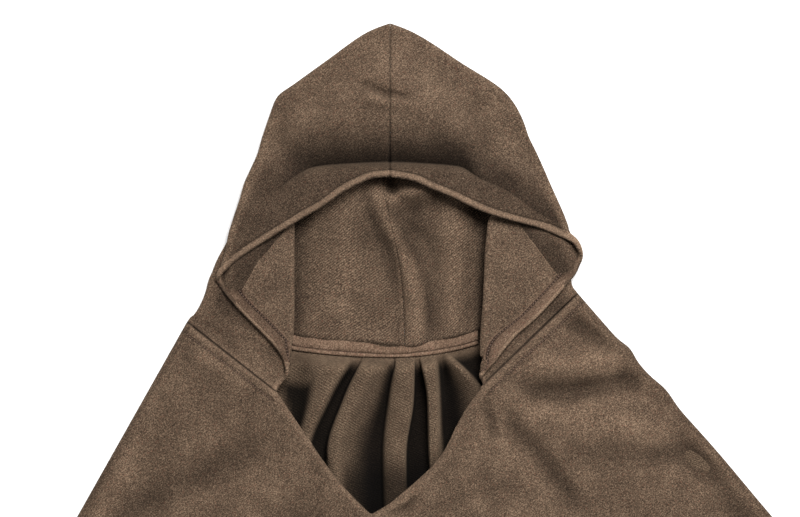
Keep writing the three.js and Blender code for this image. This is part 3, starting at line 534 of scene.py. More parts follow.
def hood_row(half, at):
    """Points of one rib. Where its folds are whole, each keeps the same columns from rib to rib; where
    the face edge cuts them off, the columns are spread over what is left."""
    path, ends, gusset = hood_rib(half, at)
    length = lengths(path)
    cost = rib_costs(path)
    hem_cost = np.interp(length[-1] - HEM_REACH, length, cost)
    floor_end, fold, side, ridge, flap, over = np.minimum(cost[ends], hem_cost)
    n = HOOD_COLUMNS
    whole = ramp(0, 0.5, gusset)
    folds_whole = ramp(half["ridge_roll"][1], half["ridge_roll"][1] + FOLDS_SETTLE, at) * whole
    crown_whole = ramp(half["corner"][1], half["corner"][1] + CROWN_SETTLE, at) * whole
    last = n["flap"] + n["over"] + n["crown"]
    free = even_steps([floor_end, hem_cost], [n["fold"] + n["side"] + n["ridge"] + last])
    open_crown = even_steps([floor_end, fold, side, ridge, hem_cost],
                            [n["fold"], n["side"], n["ridge"], last])
    bound = even_steps([floor_end, fold, side, ridge, flap, over, hem_cost],
                       [n[name] for name in ("fold", "side", "ridge", "flap", "over", "crown")])
    spread = lerp(free, lerp(open_crown, bound, crown_whole), folds_whole)
    targets = np.concatenate([
        even_steps([0, floor_end], [n["under"]])[:-1],
        spread,
        even_steps([hem_cost, cost[-1]], [HEM_COLUMNS])[1:],
    ])
    to_edge = length[-1] - length
    return np.column_stack([np.interp(targets, cost, path[:, k]) for k in range(4)]
                           + [np.interp(targets, cost, to_edge)])


def soothed(grid, rounds, share=0.5):
    """Evens a grid of points out. Its rim moves along itself alone."""
    grid = grid.copy()
    for _ in range(rounds):
        before = grid.copy()
        around = (before[:-2, 1:-1] + before[2:, 1:-1] + before[1:-1, :-2] + before[1:-1, 2:]) / 4
        grid[1:-1, 1:-1] = lerp(before[1:-1, 1:-1], around, share)
        for line in (0, -1):
            grid[line, 1:-1] = lerp(before[line, 1:-1], (before[line, :-2] + before[line, 2:]) / 2, share)
            grid[1:-1, line] = lerp(before[1:-1, line], (before[:-2, line] + before[2:, line]) / 2, share)
    return grid


def normals(grid):
    across = np.gradient(grid, axis=1)
    along = np.gradient(grid, axis=0)
    normal = np.cross(across, along)
    return normal / np.maximum(np.linalg.norm(normal, axis=2, keepdims=True), 1e-9)


def from_first_row(grid):
    """Distance of each point from the grid's first row, along its column."""
    step = np.linalg.norm(np.diff(grid, axis=0), axis=2)
    return np.vstack([np.zeros(grid.shape[1]), np.cumsum(step, axis=0)])


def new_piece(name, points, faces, marks, material):
    """A mesh in the frame's metres. marks are values or vectors for each point, which materials read."""
    mesh = bpy.data.meshes.new(name)
    mesh.from_pydata(((points + nape) * MM).tolist(), [], faces.tolist())
    for key, values in marks.items():
        if values.ndim == 2:
            mesh.attributes.new(key, "FLOAT_VECTOR", "POINT").data.foreach_set("vector", values.ravel())
        else:
            mesh.attributes.new(key, "FLOAT", "POINT").data.foreach_set("value", values.ravel())
    mesh.polygons.foreach_set("use_smooth", [True] * len(mesh.polygons))
    mesh.materials.append(material)
    mesh.update()
    piece = bpy.data.objects.new(name, mesh)
    bpy.context.collection.objects.link(piece)
    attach(piece, "root")
    return piece


HOLLOW = 0.09           # painted shade: how much darker a point gets for each millimetre below what is around it
HOLLOW_ROUNDS = 50      # of evening out, which gives what is around a point
HOLLOW_RANGE = (-3, 2)  # heights below and above it that count
RIM_ROUND = 0.42        # how far the rim stands out, as a share of the thickness


def cloth_piece(name, middle, normal, thickness, thread, edge, tone, material,
                side=None, shift=0, hollow=HOLLOW, inside=0.0, bend=0.0):
    """A closed shell on both sides of a grid of points, with a round rim. thread is the place in the
    cloth, edge how much of the paler edge colour a point takes, which is partly painted highlight, and
    tone its painted shade and highlight, darker where it is sewn down or lies deep; hollow is how much
    painted shade it gets for each millimetre below what is around it, and painted highlight above. side
    keeps the shell off the centre seam, before shift moves it along x. bend is the distance past a
    sharp bend over which the material paints a highlight and then shade."""
    rows, width = middle.shape[:2]
    thickness = np.broadcast_to(np.asarray(thickness, float), (rows, width))[..., None]
    # Painted shade below what is around a point, and painted highlight above it.
    above = middle[..., 2] - soothed(middle[..., 2], HOLLOW_ROUNDS)
    tone = tone * (1 + hollow * np.clip(above, *HOLLOW_RANGE))
    upper = middle + normal * thickness / 2
    lower = middle - normal * thickness / 2
    number = np.arange(rows * width).reshape(rows, width)
    rim = np.concatenate([number[0, :-1], number[:-1, -1], number[-1, :0:-1], number[:0:-1, 0]])
    inner = np.concatenate([number[1, :-1], number[:-1, -2], number[-2, :0:-1], number[:0:-1, 1]])
    flat_middle = middle.reshape(-1, 3)
    outward = flat_middle[rim] - flat_middle[inner]
    outward /= np.maximum(np.linalg.norm(outward, axis=1, keepdims=True), 1e-9)
    turned = flat_middle[rim] + outward * thickness.reshape(-1, 1)[rim] * RIM_ROUND
    points = np.vstack([upper.reshape(-1, 3), lower.reshape(-1, 3), turned])
    if side:
        points[:, 0] = side * np.maximum(side * points[:, 0], SEAM_GAP / 4)
        points[:, 0] += np.concatenate([shift.ravel(), shift.ravel(), shift.ravel()[rim]])
    points[:, 2] = np.maximum(points[:, 2], 0)
    layer = rows * width
    a, b, c, d = number[:-1, :-1], number[:-1, 1:], number[1:, 1:], number[1:, :-1]
    quads = np.stack([a, b, c, d], axis=-1).reshape(-1, 4)
    ring = 2 * layer + np.arange(len(rim))
    following = np.roll(np.arange(len(rim)), -1)
    faces = np.vstack([
        quads,
        layer + quads[:, ::-1],
        np.stack([rim, ring, ring[following], rim[following]], axis=-1),
        np.stack([ring, layer + rim, layer + rim[following], ring[following]], axis=-1),
    ])
    corner = points[faces]
    size = np.einsum("ij,ij->i", corner[:, 0], np.cross(corner[:, 1], corner[:, 2])).sum() \
        + np.einsum("ij,ij->i", corner[:, 0], np.cross(corner[:, 2], corner[:, 3])).sum()
    if size < 0:
        faces = faces[:, ::-1]
    marks = {}
    for key, values in (("edge", edge), ("tone", tone), ("inside", inside), ("bend", bend)):
        values = np.broadcast_to(values, (rows, width)).ravel()
        marks[key] = np.concatenate([values, values, values[rim]])
    thread = thread.reshape(-1, 3) * MM
    marks["thread"] = np.concatenate([thread, thread, thread[rim]])
    return new_piece(name, points, faces, marks, material)


# Fulled wool twill: brown fleeces blended before spinning, so each thread is flecked. Fulling has
# felted the face, so that it is matt and the twill's diagonal shows only as a soft rib.
TWILL_RIB = 2.3
INSIDE_RIBS = 2.2       # how much more the ribs show where the cloth's unfelted inside is up
FLECK = 1.25
CLOUD = 26
YARN_SHARE = 0.55       # of the coarser noise beside the fine one
CLOUD_SHARE = 0.22
CONTRAST = 0.25
RUST_START, RUST_FULL, RUST_MOST = 0.6, 0.72, 0.5
NAP = 0.12              # sheen of the short nap, scaled down with the painted shade of the marks tone and bend
# Past a flap's bend the colour has first a painted highlight and then painted shade. The mark called
# bend is read over this many millimetres, which begin BEND_MARGIN before the bend.
BEND_SPAN = 33
BEND_MARGIN = 3
PLAIN = 0.55            # value at which the cloth keeps its colour
# Painted highlight and shade along the mark called bend: share of BEND_SPAN, and value.
FACET = ((0, PLAIN), (0.052, PLAIN), (0.08, 0.74), (0.108, 0.22), (0.55, 0.28))


def wool_twill(name, dark, middle, light, fleck, rib_turn, rib_depth, rib_tint):
    """Dark, middle and light wools and a rust fleck; rib_turn is the diagonal's angle in degrees. Where
    the mark called inside is 1, the ribs show more. The marks called tone and bend scale the colour and
    the sheen by painted shade and highlight; the mark called edge mixes in the paler edge colour, which
    is partly painted highlight."""
    material, tree = new_material(name)
    thread = add(tree, "Attribute", {"attribute_name": "thread"})
    edge = add(tree, "Attribute", {"attribute_name": "edge"})
    tone = add(tree, "Attribute", {"attribute_name": "tone"})
    inside = add(tree, "Attribute", {"attribute_name": "inside"})
    where = {"Vector": thread.outputs["Vector"]}
    turned = add(tree, "Mapping", {"Rotation": (0, 0, math.radians(rib_turn))}, where)
    rib = add(tree, "TexWave", {"Scale": math.tau / 20 / (TWILL_RIB * MM), "Distortion": 1.2,
                                "Detail": 2, "Detail Scale": 1.5}, {"Vector": turned.outputs[0]})
    bare = add(tree, "Math", {"operation": "MULTIPLY_ADD", 1: INSIDE_RIBS, 2: 1.0},
               {0: inside.outputs["Fac"]})
    shown = add(tree, "Math", {"operation": "SUBTRACT", 1: 0.5}, {0: rib.outputs[0]})
    ribs = add(tree, "Math", {"operation": "MULTIPLY"}, {0: shown.outputs[0], 1: bare.outputs[0]})
    fibre = add(tree, "TexNoise", {"Scale": 1 / (FLECK * MM), "Detail": 3, "Roughness": 0.75}, where)
    yarn = add(tree, "TexNoise", {"Scale": 0.5 / (FLECK * MM), "Detail": 4, "Roughness": 0.85}, where)
    cloud = add(tree, "TexNoise", {"Scale": 1 / (CLOUD * MM), "Detail": 3}, where)
    spot = add(tree, "TexNoise", {"Scale": 0.8 / (FLECK * MM), "Detail": 1}, {"Vector": turned.outputs[0]})
    blend = add(tree, "Math", {"operation": "MULTIPLY_ADD", 1: YARN_SHARE},
                {0: yarn.outputs[0], 2: fibre.outputs[0]})
    ribbed = add(tree, "Math", {"operation": "MULTIPLY_ADD", 1: rib_tint},
                 {0: ribs.outputs[0], 2: blend.outputs[0]})
    clouded = add(tree, "Math", {"operation": "MULTIPLY_ADD", 1: CLOUD_SHARE},
                  {0: cloud.outputs[0], 2: ribbed.outputs[0]})
    middle_value = (1 + YARN_SHARE + CLOUD_SHARE) / 2
    spread = add(tree, "MapRange", {"From Min": middle_value - CONTRAST, "From Max": middle_value + CONTRAST},
                 {"Value": clouded.outputs[0]})
    wool = add(tree, "ValToRGB", {}, {"Fac": spread.outputs[0]})
    stops = wool.color_ramp.elements
    stops[0].color, stops[1].color = linear(dark), linear(light)
    stops.new(0.5).color = linear(middle)
    rust = add(tree, "MapRange", {"From Min": RUST_START, "From Max": RUST_FULL, "To Max": RUST_MOST},
               {"Value": spot.outputs[0]})
    flecked = add(tree, "Mix", {"data_type": "RGBA", "B": linear(fleck)},
                  {"Factor": rust.outputs[0], "A": wool.outputs[0]})
    paled = add(tree, "Mix", {"data_type": "RGBA", "B": linear(EDGE_COLOUR)},
               {"Factor": edge.outputs["Fac"], "A": flecked.outputs["Result"]})
    bend = add(tree, "Attribute", {"attribute_name": "bend"})
    past = add(tree, "MapRange", {"From Max": BEND_SPAN}, {"Value": bend.outputs["Fac"]})
    facet = add(tree, "ValToRGB", {}, {"Fac": past.outputs[0]})
    stops = facet.color_ramp.elements
    for at, value in FACET:
        stop = stops[0] if at == 0 else stops.new(at)
        stop.color = (value, value, value, 1)
    stops[len(stops) - 1].color = (PLAIN, PLAIN, PLAIN, 1)
    bent = add(tree, "Math", {"operation": "MULTIPLY", 1: 1 / PLAIN}, {0: facet.outputs[0]})
    both = add(tree, "Math", {"operation": "MULTIPLY"}, {0: bent.outputs[0], 1: tone.outputs["Fac"]})
    toned = add(tree, "VectorMath", {"operation": "SCALE"},
                {0: paled.outputs["Result"], "Scale": both.outputs[0]})
    height = add(tree, "Math", {"operation": "MULTIPLY_ADD", 1: rib_depth},
                 {0: ribs.outputs[0], 2: blend.outputs[0]})
    bump = add(tree, "Bump", {"Strength": 0.7, "Distance": 0.0007}, {"Height": height.outputs[0]})
    nap = add(tree, "Math", {"operation": "MULTIPLY", 1: NAP}, {0: both.outputs[0]})
    felt = add(tree, "BsdfPrincipled", {
        "Roughness": 0.95, "Sheen Roughness": 0.6, "Sheen Tint": linear("#C9AE92"),
        "Specular IOR Level": 0.1,
    }, {"Base Color": toned.outputs[0], "Normal": bump.outputs["Normal"], "Sheen Weight": nap.outputs[0]})
    add(tree, "OutputMaterial", {}, {"Surface": felt.outputs[0]})
    return material


# Paler, pinker colour of lips, rolls and seam edges; on raised rolls it also stands for painted highlight.
EDGE_COLOUR = "#806A58"
twill = wool_twill("wool_twill_fulled", "#231B15", "#493B2F", "#806B58", "#644335", 52, 0.3, 0.04)
twill_inside = wool_twill("wool_twill_inside", "#221A14", "#46392D", "#7A6754", "#5F4134", -66, 0.6, 0.1)
twill_pressed = wool_twill("wool_twill_pressed", "#291F19", "#554234", "#897260", "#6D463B", 40, 0.3, 0.04)


def soothed_line(values, rounds):
    for _ in range(rounds):
        values = np.concatenate([values[:1], (values[:-2] + 2 * values[1:-1] + values[2:]) / 4, values[-1:]])
    return values


# Where the hood's small forms lie, and how high or deep they are.
OUTER_FOLD_X = 196
FOLD_CLEAR = 40         # the hood's back stays flat this near to its outer fold
BAND_DIP = (5, 5, 20)   # the band along the neck is narrower by this, at this x, over this reach
BAND_EDGE = (-1.5, 2.5)     # past the band's upper edge, where the hood's back lifts off the table
BACK_LIFT = 1.6
OVERHANG = (2, 10)      # what the band adds to that lift, and how far
CROWN_LIFT = 14         # the hood's back rises this much behind the rim of the crown
CROWN_LIFT_START, CROWN_LIFT_END = (100, 165), (190, 181)
CROWN_LIFT_SIDE = (100, 76)
CENTRE_DIP = (1.3, 1.5)     # depth and reach of the dips along seams and beside the lip
NECK_DIP = (1.5, 1.8)
LIP_DIP = (0.6, 1.2)
WANDER_REACH = 60       # of the centre seam's bends inside the hood
FLAP_END = 150          # past this y a flap lies hidden under the crown
FLAP_START = 3.6        # stretch at which a flap has left its ridge
# Between which stretches of a rib each part of the hood comes in, and between which it runs out.
HOOD_PARTS = {
    "floor": [(1.0, 0.9)],
    "side": [(2.0, 2.15), (3.0, 2.85)],
    "flap": [(4.0, 4.15), (5.0, 4.9)],
    "turn": [(4.6, 5.0), (6.6, 6.0)],
    "crown": [(6.0, 6.15)],
}
FLAP_FADE = {"flap": 20, "turn": 30}    # over which these run out before FLAP_END
# Painted shade and painted highlight at each place, as a share of the cloth's own brightness.
CENTRE_SHADE = 0.22
NECK_SHADE = (0.72, 1.1)    # painted shade and its reach
RIDGE_SHADE = (0.55, 10)
BAND_SHADE = (0.4, 3.5)
LIP_SHADE = 0.2         # painted shade in the dip beside the lip
SIDE_SHADE = 0.5        # painted shadow where the crown hangs over the folded side
LIP_LIGHT = 0.22
TURN_LIGHT = 0.25       # more painted highlight on the lip that turns over at the corner
LIP_PALE = 0.2          # share of the paler edge colour, partly painted highlight
# Paler edge colour at the neck seam, partly painted highlight: share and reach.
NECK_PALE = (0.2, 3)
INSIDE_HOLLOW = 0.05    # more painted shade in hollows, added to HOLLOW inside the hood


def band_dip(x):
    depth, at, reach = BAND_DIP
    return depth * bell(x - at, reach)


def hood_places(stage, y):
    """How much each point belongs to each part of the hood, from 0 to 1."""
    on = {part: math.prod(ramp(*limits, stage) for limits in steps) for part, steps in HOOD_PARTS.items()}
    for part, fade in FLAP_FADE.items():
        on[part] = on[part] * ramp(FLAP_END, FLAP_END - fade, y)
    return on


def inside_relief(x, y, past_band):
    """Height of the hood's back above the table, inside the face opening."""
    overhang = ramp(*BAND_EDGE, past_band) * np.exp(-np.maximum(past_band - BAND_EDGE[1], 0) / OVERHANG[1])
    behind_rim = ramp(*CROWN_LIFT_START, y) * ramp(*CROWN_LIFT_END, y) * ramp(*CROWN_LIFT_SIDE, np.abs(x))
    return BACK_LIFT + creases(INSIDE_CREASES, x, y) + OVERHANG[0] * overhang + CROWN_LIFT * behind_rim


def hood_tone(half, x, y, on, lip, groove, from_neck, past_band):
    """How much of its own brightness the cloth keeps: painted shade at seams, under the crown and beside the
    folds, and painted highlight on the lip.
    """
    neck_shade, neck_reach = NECK_SHADE
    tone = 1 - CENTRE_SHADE * on["crown"] * bell(x, CENTRE_DIP[1])
    tone -= neck_shade * bell(from_neck, neck_reach) * (1 - on["floor"])
    tone += (LIP_LIGHT + TURN_LIGHT * on["turn"]) * lip - LIP_SHADE * on["crown"] * groove
    above_crease = y - read(CROWN, "x", x, "crease_y")
    shade = read(CREASE_SHADE, "x", x, "dark") * bell(np.maximum(above_crease, 0), CREASE_REACH)
    tone -= on["crown"] * lerp(BAND_DARK * (1 - lip), shade, ramp(-2, 0.5, above_crease))
    tone *= 1 - on["side"] * SIDE_SHADE * ramp(0, 50, y) * ramp(120, 175, np.abs(x))
    to_ridge = np.interp(y, half["outline"]["ridge_y"], half["outline"]["ridge_x"]) - np.abs(x)
    for (dark, reach), away in ((RIDGE_SHADE, to_ridge), (BAND_SHADE, past_band - 1)):
        tone *= 1 - on["floor"] * dark * bell(away, reach)
    return tone


def hood_half(name, half, material):
    at = hood_stations(half)
    whole = np.array([hood_row(half, a) for a in at])
    side = half["side"]
    middle, stage, to_edge = whole[..., :3].copy(), whole[..., 3], whole[..., 4]
    middle[..., 0] *= side
    middle = soothed(middle, rounds=3)
    x, y = middle[..., 0].copy(), middle[..., 1]

    on = hood_places(stage, y)
    from_fold = ramp(0, FOLD_CLEAR, np.abs(x - side * OUTER_FOLD_X))
    past_band = y - neck_seam_y(x) - BAND_WIDTH + band_dip(x)
    relief = inside_relief(x, y, past_band)
    middle[..., 2] += on["floor"] * from_fold * ramp(*BAND_EDGE, past_band) * relief
    middle[..., 2] = np.maximum(middle[..., 2], FLOOR)
    middle[..., 2] += on["crown"] * creases(CROWN_CREASES, x, y)
    middle[..., 2] += on["flap"] * creases(FLAP_CREASES, x, y)
    past_bend = beside(FLAP_BENDS[name], x, y)[0]
    middle[..., 2] += on["flap"] * FLAP_RISE * np.clip(past_bend, 0, FLAP_REACH)
    middle[..., 2] += on["side"] * creases(SIDE_CREASES, x, y)
    wander = read(SEAM_WANDER, "y", y, "x") * bell(x, WANDER_REACH)
    middle[..., 2] -= on["crown"] * CENTRE_DIP[0] * bell(x, CENTRE_DIP[1])
    from_neck = from_first_row(middle)
    middle[..., 2] -= (1 - on["floor"]) * NECK_DIP[0] * bell(from_neck, NECK_DIP[1])
    middle = soothed(middle, rounds=2)

    along_edge = np.gradient(middle[:, -1], axis=0)
    outward = middle[:, -1] - middle[:, -3]
    slant = np.linalg.norm(np.cross(along_edge, outward), axis=1) \
        / (np.linalg.norm(along_edge, axis=1) * np.linalg.norm(outward, axis=1))
    to_edge = to_edge * soothed_line(slant, rounds=6)[:, None]
    above_flap = soothed_line(ramp(*half["corner"], at), rounds=4)[:, None]
    lip_width = lerp(*LIP_WIDTH, above_flap)
    lip = np.sqrt(np.clip(1 - (to_edge / lip_width * 2 - 1) ** 2, 0, 1))
    groove = bell(to_edge - lip_width - 1, LIP_DIP[1])
    middle[..., 2] -= on["crown"] * LIP_DIP[0] * groove
    thickness = CLOTH + 2 * lerp(*LIP_SWELL, above_flap) * lip
    # Paler edge colour on the lip and at the neck seam, partly painted highlight; painted shade and highlight
    # in tone, and past a flap's bend through the mark bend.
    edge = LIP_PALE * lip + NECK_PALE[0] * bell(from_neck, NECK_PALE[1]) * (1 - on["floor"])
    tone = hood_tone(half, x, y, on, lip, groove, from_neck, past_band)
    on_bend = (stage > 4) & (stage <= 5) & (y < FLAP_END)
    bend = np.where(on_bend, np.clip(past_bend, -BEND_MARGIN, BEND_SPAN - BEND_MARGIN) + BEND_MARGIN, 0)
    inward = normals(middle) * side
    piece = cloth_piece(f"hood_{name}_cloth", middle, inward, thickness, middle, edge, tone, material,
                        side, on["floor"] * wander, hollow=HOLLOW + INSIDE_HOLLOW * on["floor"],
                        inside=on["floor"], bend=bend)
    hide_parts(f"hood_{name}")
    flap = np.array([np.interp(FLAP_START, line, far) for line, far in zip(stage, to_edge)])
    return piece, middle, inward, at, to_edge, flap


hood_left, *left_grid = hood_half("left", LEFT, twill)
hood_right, *right_grid = hood_half("right", RIGHT, twill)


# ---- Face hems ----------------------------------------------------------------------------------
# The face edge is turned to the inside and sewn down. Only the turning on the flaps shows: a flat
# strip between the round lip and its row of stitches.
HEM_CLOTH = 1.2
HEM_START = 3.6         # from the face edge, where the lip ends
HEM_STITCH = 13         # from the face edge
HEM_LINES = 25          # across the strip
HEM_PUFF = 0.5          # how much the strip rises between the lip and its stitches
HEM_GROOVE = (0.5, 1.4)     # depth and reach of the pull of the stitches
HEM_SINK = 0.1          # of the strip into the cloth below it
RIDGE_CLEAR = 2         # the strip narrows so that it ends this far from the ridge
HEM_NARROWEST = 0.32
# Painted shade: the strip keeps HEM_TONE of its brightness, less on the left, and darkens by HEM_SEWN_SHADE
# at its stitches.
HEM_TONE = {"left": 0.84, "right": 0.95}
HEM_SEWN_SHADE = 0.76
HEM_VALLEY_SHADE = (0.2, 3, 2.5)    # painted shade, its distance from the stitches and its reach
HEM_END_SHADE = (0.5, 0.035)        # painted shade at the corner, and the share of the edge over which it comes
# Paler edge colour, partly painted highlight.
HEM_PALE = 0.12
HEM_RUN_PAST = (0.01, 0.004)    # starts past the rolled ridge, and ends past the start of the corner
HEM_SEARCH = 96         # columns of the hood, counted from the face edge, that the strip may cover


def face_hem(name, half, grid, material):
    middle, inward, at, to_edge, flap = grid
    past_ridge, past_corner = HEM_RUN_PAST
    rows = (at > half["ridge_roll"][1] + past_ridge) & (at < half["corner"][0] + past_corner)
    strip = slice(-1 - HEM_SEARCH, None)
    middle, inward, to_edge = middle[rows, strip], inward[rows, strip], to_edge[rows, strip]
    depth = np.linspace(HEM_WIDTH, HEM_START, HEM_LINES)
    share = np.clip((flap[rows] - RIDGE_CLEAR) / HEM_WIDTH, HEM_NARROWEST, 1)

    def across(values):
        return np.array([[np.interp(depth * s, d[::-1], row[::-1, k]) for k in range(3)]
                         for s, d, row in zip(share, to_edge, values)]).transpose(0, 2, 1)

    middle, inward = across(middle), across(inward)
    rounded = np.sin(np.pi * (depth - HEM_START) / (HEM_STITCH - HEM_START + 1.5))
    puff = np.maximum(HEM_PUFF * rounded * (depth < HEM_STITCH + 1), 0)
    pull, reach = HEM_GROOVE
    sewn = bell(depth - HEM_STITCH, reach)
    lift = CLOTH / 2 + HEM_CLOTH / 2 - HEM_SINK + puff - pull * sewn
    raised = middle + inward * lift[None, :, None]
    thickness = HEM_CLOTH * (1 - pull * sewn)[None, :] * np.ones(raised.shape[:2])
    # Painted shade at the stitches, in the valley beside them and towards the corner.
    dark, away, reach = HEM_VALLEY_SHADE
    valley = bell(depth - HEM_STITCH + away, reach)
    tone = HEM_TONE[name] - (HEM_SEWN_SHADE * sewn + dark * valley)[None, :] * np.ones(raised.shape[:2])
    dark, length = HEM_END_SHADE
    tone *= 1 - dark * ramp(half["corner"][0] - length, half["corner"][0], at[rows])[:, None]
    piece = cloth_piece(f"face_hem_{name}_cloth", raised, normals(raised) * half["side"], thickness,
                        raised, HEM_PALE * np.ones_like(tone), tone, material)
    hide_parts(f"face_hem_{name}")
    row = int(np.argmin(np.abs(depth - HEM_STITCH)))
    return piece, raised[:, row] + inward[:, row] * HEM_CLOTH / 2, inward[:, row]


hem_left, hem_left_line, hem_left_up = face_hem("left", LEFT, left_grid, twill_pressed)
hem_right, hem_right_line, hem_right_up = face_hem("right", RIGHT, right_grid, twill_pressed)


# ---- Neck seam band -----------------------------------------------------------------------------
# The seam allowances of hood and back, pressed up against the hood's inside and sewn down near
# their lower edge, so that the lower edge stands up as a round roll.
BAND_ENDS = (-108, 92)
BAND_CLOTH = 2.0
BAND_ROWS, BAND_COLUMNS = 18, 229
BAND_START = 0.5        # above the neck seam
BAND_RIGHT_DIP = (2, 78, 16)    # like BAND_DIP, near the right end
# Across the band, as shares of its width from the lower edge.
BAND_ROLL_END = 0.24
BAND_STITCH = 0.26
BAND_STITCH_REACH = 0.06
BAND_PILLOW = (0.3, 1.04)
BAND_HEIGHT = 3.5       # of its middle above the table, and what adds to it
ROLL_HEIGHT = 0.8
PILLOW_HEIGHT = 1.4
STITCH_PULL = 0.8
BAND_WAVES = ((0.5, 11), (0.35, 4.3))   # height and length of the uneven places along it
WAVE_WIDTH = 0.9        # how much these shift the upper edge
WAVE_HEIGHT = 0.6
# Paler edge colour on roll and pillow, partly painted highlight.
ROLL_PALE_SHARE, PILLOW_PALE_SHARE = 0.22, 0.16
# Painted highlight: the band is drawn a little lighter than its cloth; painted shade at its stitches.
BAND_TONE = 1.04
BAND_SEWN_SHADE = 0.62
BAND_TOP_SHADE = (0.2, 0.9)     # painted shade of the upper edge, and the share of the width where it begins
SEWN_THINNING = 0.3     # share of the thickness lost at the stitches
THREAD_LIFT = 0.35      # of the thickness, from the band's middle up to the stitches


def neck_band(material):
    share = np.linspace(0, 1, BAND_ROWS + 1)[:, None]
    x = np.linspace(*BAND_ENDS, BAND_COLUMNS + 1)[None, :]
    roll = np.sin(np.pi * np.clip(share / BAND_ROLL_END, 0, 1))
    pillow_start, pillow_end = BAND_PILLOW
    pillow = np.sin(np.pi * np.clip((share - pillow_start) / (pillow_end - pillow_start), 0, 1)) ** 0.7
    sewn = bell(share - BAND_STITCH, BAND_STITCH_REACH)
    (long_height, long_wave), (short_height, short_wave) = BAND_WAVES
    uneven = long_height * np.sin(x / long_wave + 0.9 * np.sin(x / 5))
    uneven = uneven + short_height * np.sin(x / short_wave + 1)
    depth, at, reach = BAND_RIGHT_DIP
    width = BAND_WIDTH - band_dip(x) - depth * bell(x - at, reach)
    y = neck_seam_y(x) + BAND_START + width * share + WAVE_WIDTH * uneven * share
    z = BAND_HEIGHT + ROLL_HEIGHT * roll + PILLOW_HEIGHT * pillow - STITCH_PULL * sewn
    z = z + WAVE_HEIGHT * uneven * pillow
    x, y, z = np.broadcast_arrays(x, y, z)
    middle = np.stack([x, y, z], axis=-1)
    up = normals(middle)
    up *= np.sign(up[..., 2:])
    # Paler edge colour on roll and pillow, partly painted highlight; painted shade at the stitches and the
    # upper edge.
    edge = np.broadcast_to(ROLL_PALE_SHARE * roll + PILLOW_PALE_SHARE * pillow, x.shape)
    dark, begin = BAND_TOP_SHADE
    tone = np.broadcast_to(BAND_TONE - BAND_SEWN_SHADE * sewn - dark * ramp(begin, 1, share), x.shape)
    thickness = BAND_CLOTH * (1 - SEWN_THINNING * sewn)
    piece = cloth_piece("neck_seam_band_cloth", middle, up, thickness, middle, edge, tone, material)
    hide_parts("neck_seam_band")
    row = int(round(BAND_STITCH * BAND_ROWS))
    return middle[row] + up[row] * BAND_CLOTH * THREAD_LIFT, up[row]


band_line, band_up = neck_band(twill_pressed)


# ---- Back ---------------------------------------------------------------------------------------
# One panel of the twill, seen from its inside through the neck. The seam gathers its fullness into
# long folds that fan out and run out towards the hem; past them the panel lies flat on the table.
SIDE_LENGTH = 880
CENTRE_LENGTH = 882
SEAM_STEP = 0.8
SIDE_SLOPE = {"left": 60.6, "right": 49}
NECK = {"left": (-213, 29), "right": (197, 59)}
BACK_ROWS = 190
BACK_COLUMNS = 10       # between one line of the table and the next
ROW_CROWDING = 1.7
BACK_REACH = 0.78       # share of the length over which the folds run out
BACK_RISE = 0.02        # and over which they rise from the seam
UPPER, LOWER = 0.06, 0.135
CENTRE_TUCK = (7, 5, 1.2)   # depth, x and reach of the pinch in the fold below the nape
TUCK_LENGTH = (30, 14)
# Paler colour along the neck seam, partly painted highlight.
SEAM_PALE = 0.1
SEAM_PALE_END = (18, 4)
# The folds among which little light falls, and the painted shade of their valleys.
FOLDS_LEFT, FOLDS_RIGHT, FOLDS_BELOW = (-130, -116), (150, 120), (-330, -220)
LEFT_LEAN, RIGHT_LEAN = 0.22, 0.5   # how far these limits move in for each millimetre below the nape
VALLEY_SHADE = 0.92
VALLEY_LIFT = (0.72, 0.25)      # share of the highest fold at which the shade begins and is full
VALLEY_START = (2, 18)          # below the seam
LEFT_VALLEY_DELAY = (24, -60, -80)
# Painted shade in the pinch below the nape.
TUCK_SHADE = 0.5
LOWER_SHADE = 0.72              # painted shade below the last lit stretch, where the front's V closes over the folds
LOWER_SHADE_Y, LOWER_SHADE_X = (-100, -142), (-56, -44)
RIGHT_SHADE = 0.4               # painted shadow under the right flap
RIGHT_SHADE_Y, RIGHT_SHADE_X = (-16, -34), (62, 74)
# Each line follows a ridge or valley: on the neck seam, about 50 mm and about 110 mm below it, and
# as a share of the hem from left to right. lift is its height below the neck.
BACK_FOLDS = columns(
    "neck_x upper_x upper_y lower_x lower_y hem lift",
    (-213, -239, -18, -271, -74, 0, 0),
    (-158, -172, -44, -190, -104, 0.16, 0),
    (-98, -97, -50, -108, -110, 0.3, 2),
    (-68, -80, -52, -97, -111, 0.35, 21),
    (-46, -69, -52, -90, -111, 0.38, 25),
    (-33, -59.5, -52, -81, -111, 0.4, 4),
    (-29, -51, -52, -69, -111, 0.415, 0),
    (-26, -46, -52, -63.5, -111, 0.43, 29),
    (-12, -36, -52, -57, -111, 0.455, 33),
    (-2, -23, -52, -47, -111, 0.475, 22),
    (3.5, -9, -52, -26, -111, 0.495, 11),
    (6, -3, -52, -10, -111, 0.51, 5),
    (9, 2, -52, -3.5, -111, 0.52, 26),
    (17, 12, -52, 5, -111, 0.53, 31),
    (24, 22, -52, 14, -111, 0.545, 28),
    (27, 26.5, -52, 19, -111, 0.555, 2),
    (30.5, 38, -52, 40, -111, 0.567, 2),
    (33, 41.5, -52, 43, -111, 0.575, 30),
    (43, 47.5, -52, 49, -111, 0.6, 30),
    (54, 58, -50, 63, -108, 0.63, 3),
    (58, 93, -45, 108, -98, 0.67, 27),
    (66, 105, -42, 126, -92, 0.7, 0),
    (84, 136, -34, 160, -84, 0.76, 0),
    (136, 176, -12, 211, -62, 0.86, 0),
    (197, 231.6, 19, 275, -31, 1, 0),
)
BACK_FOLDS["at"] = np.arange(len(BACK_FOLDS["hem"]))


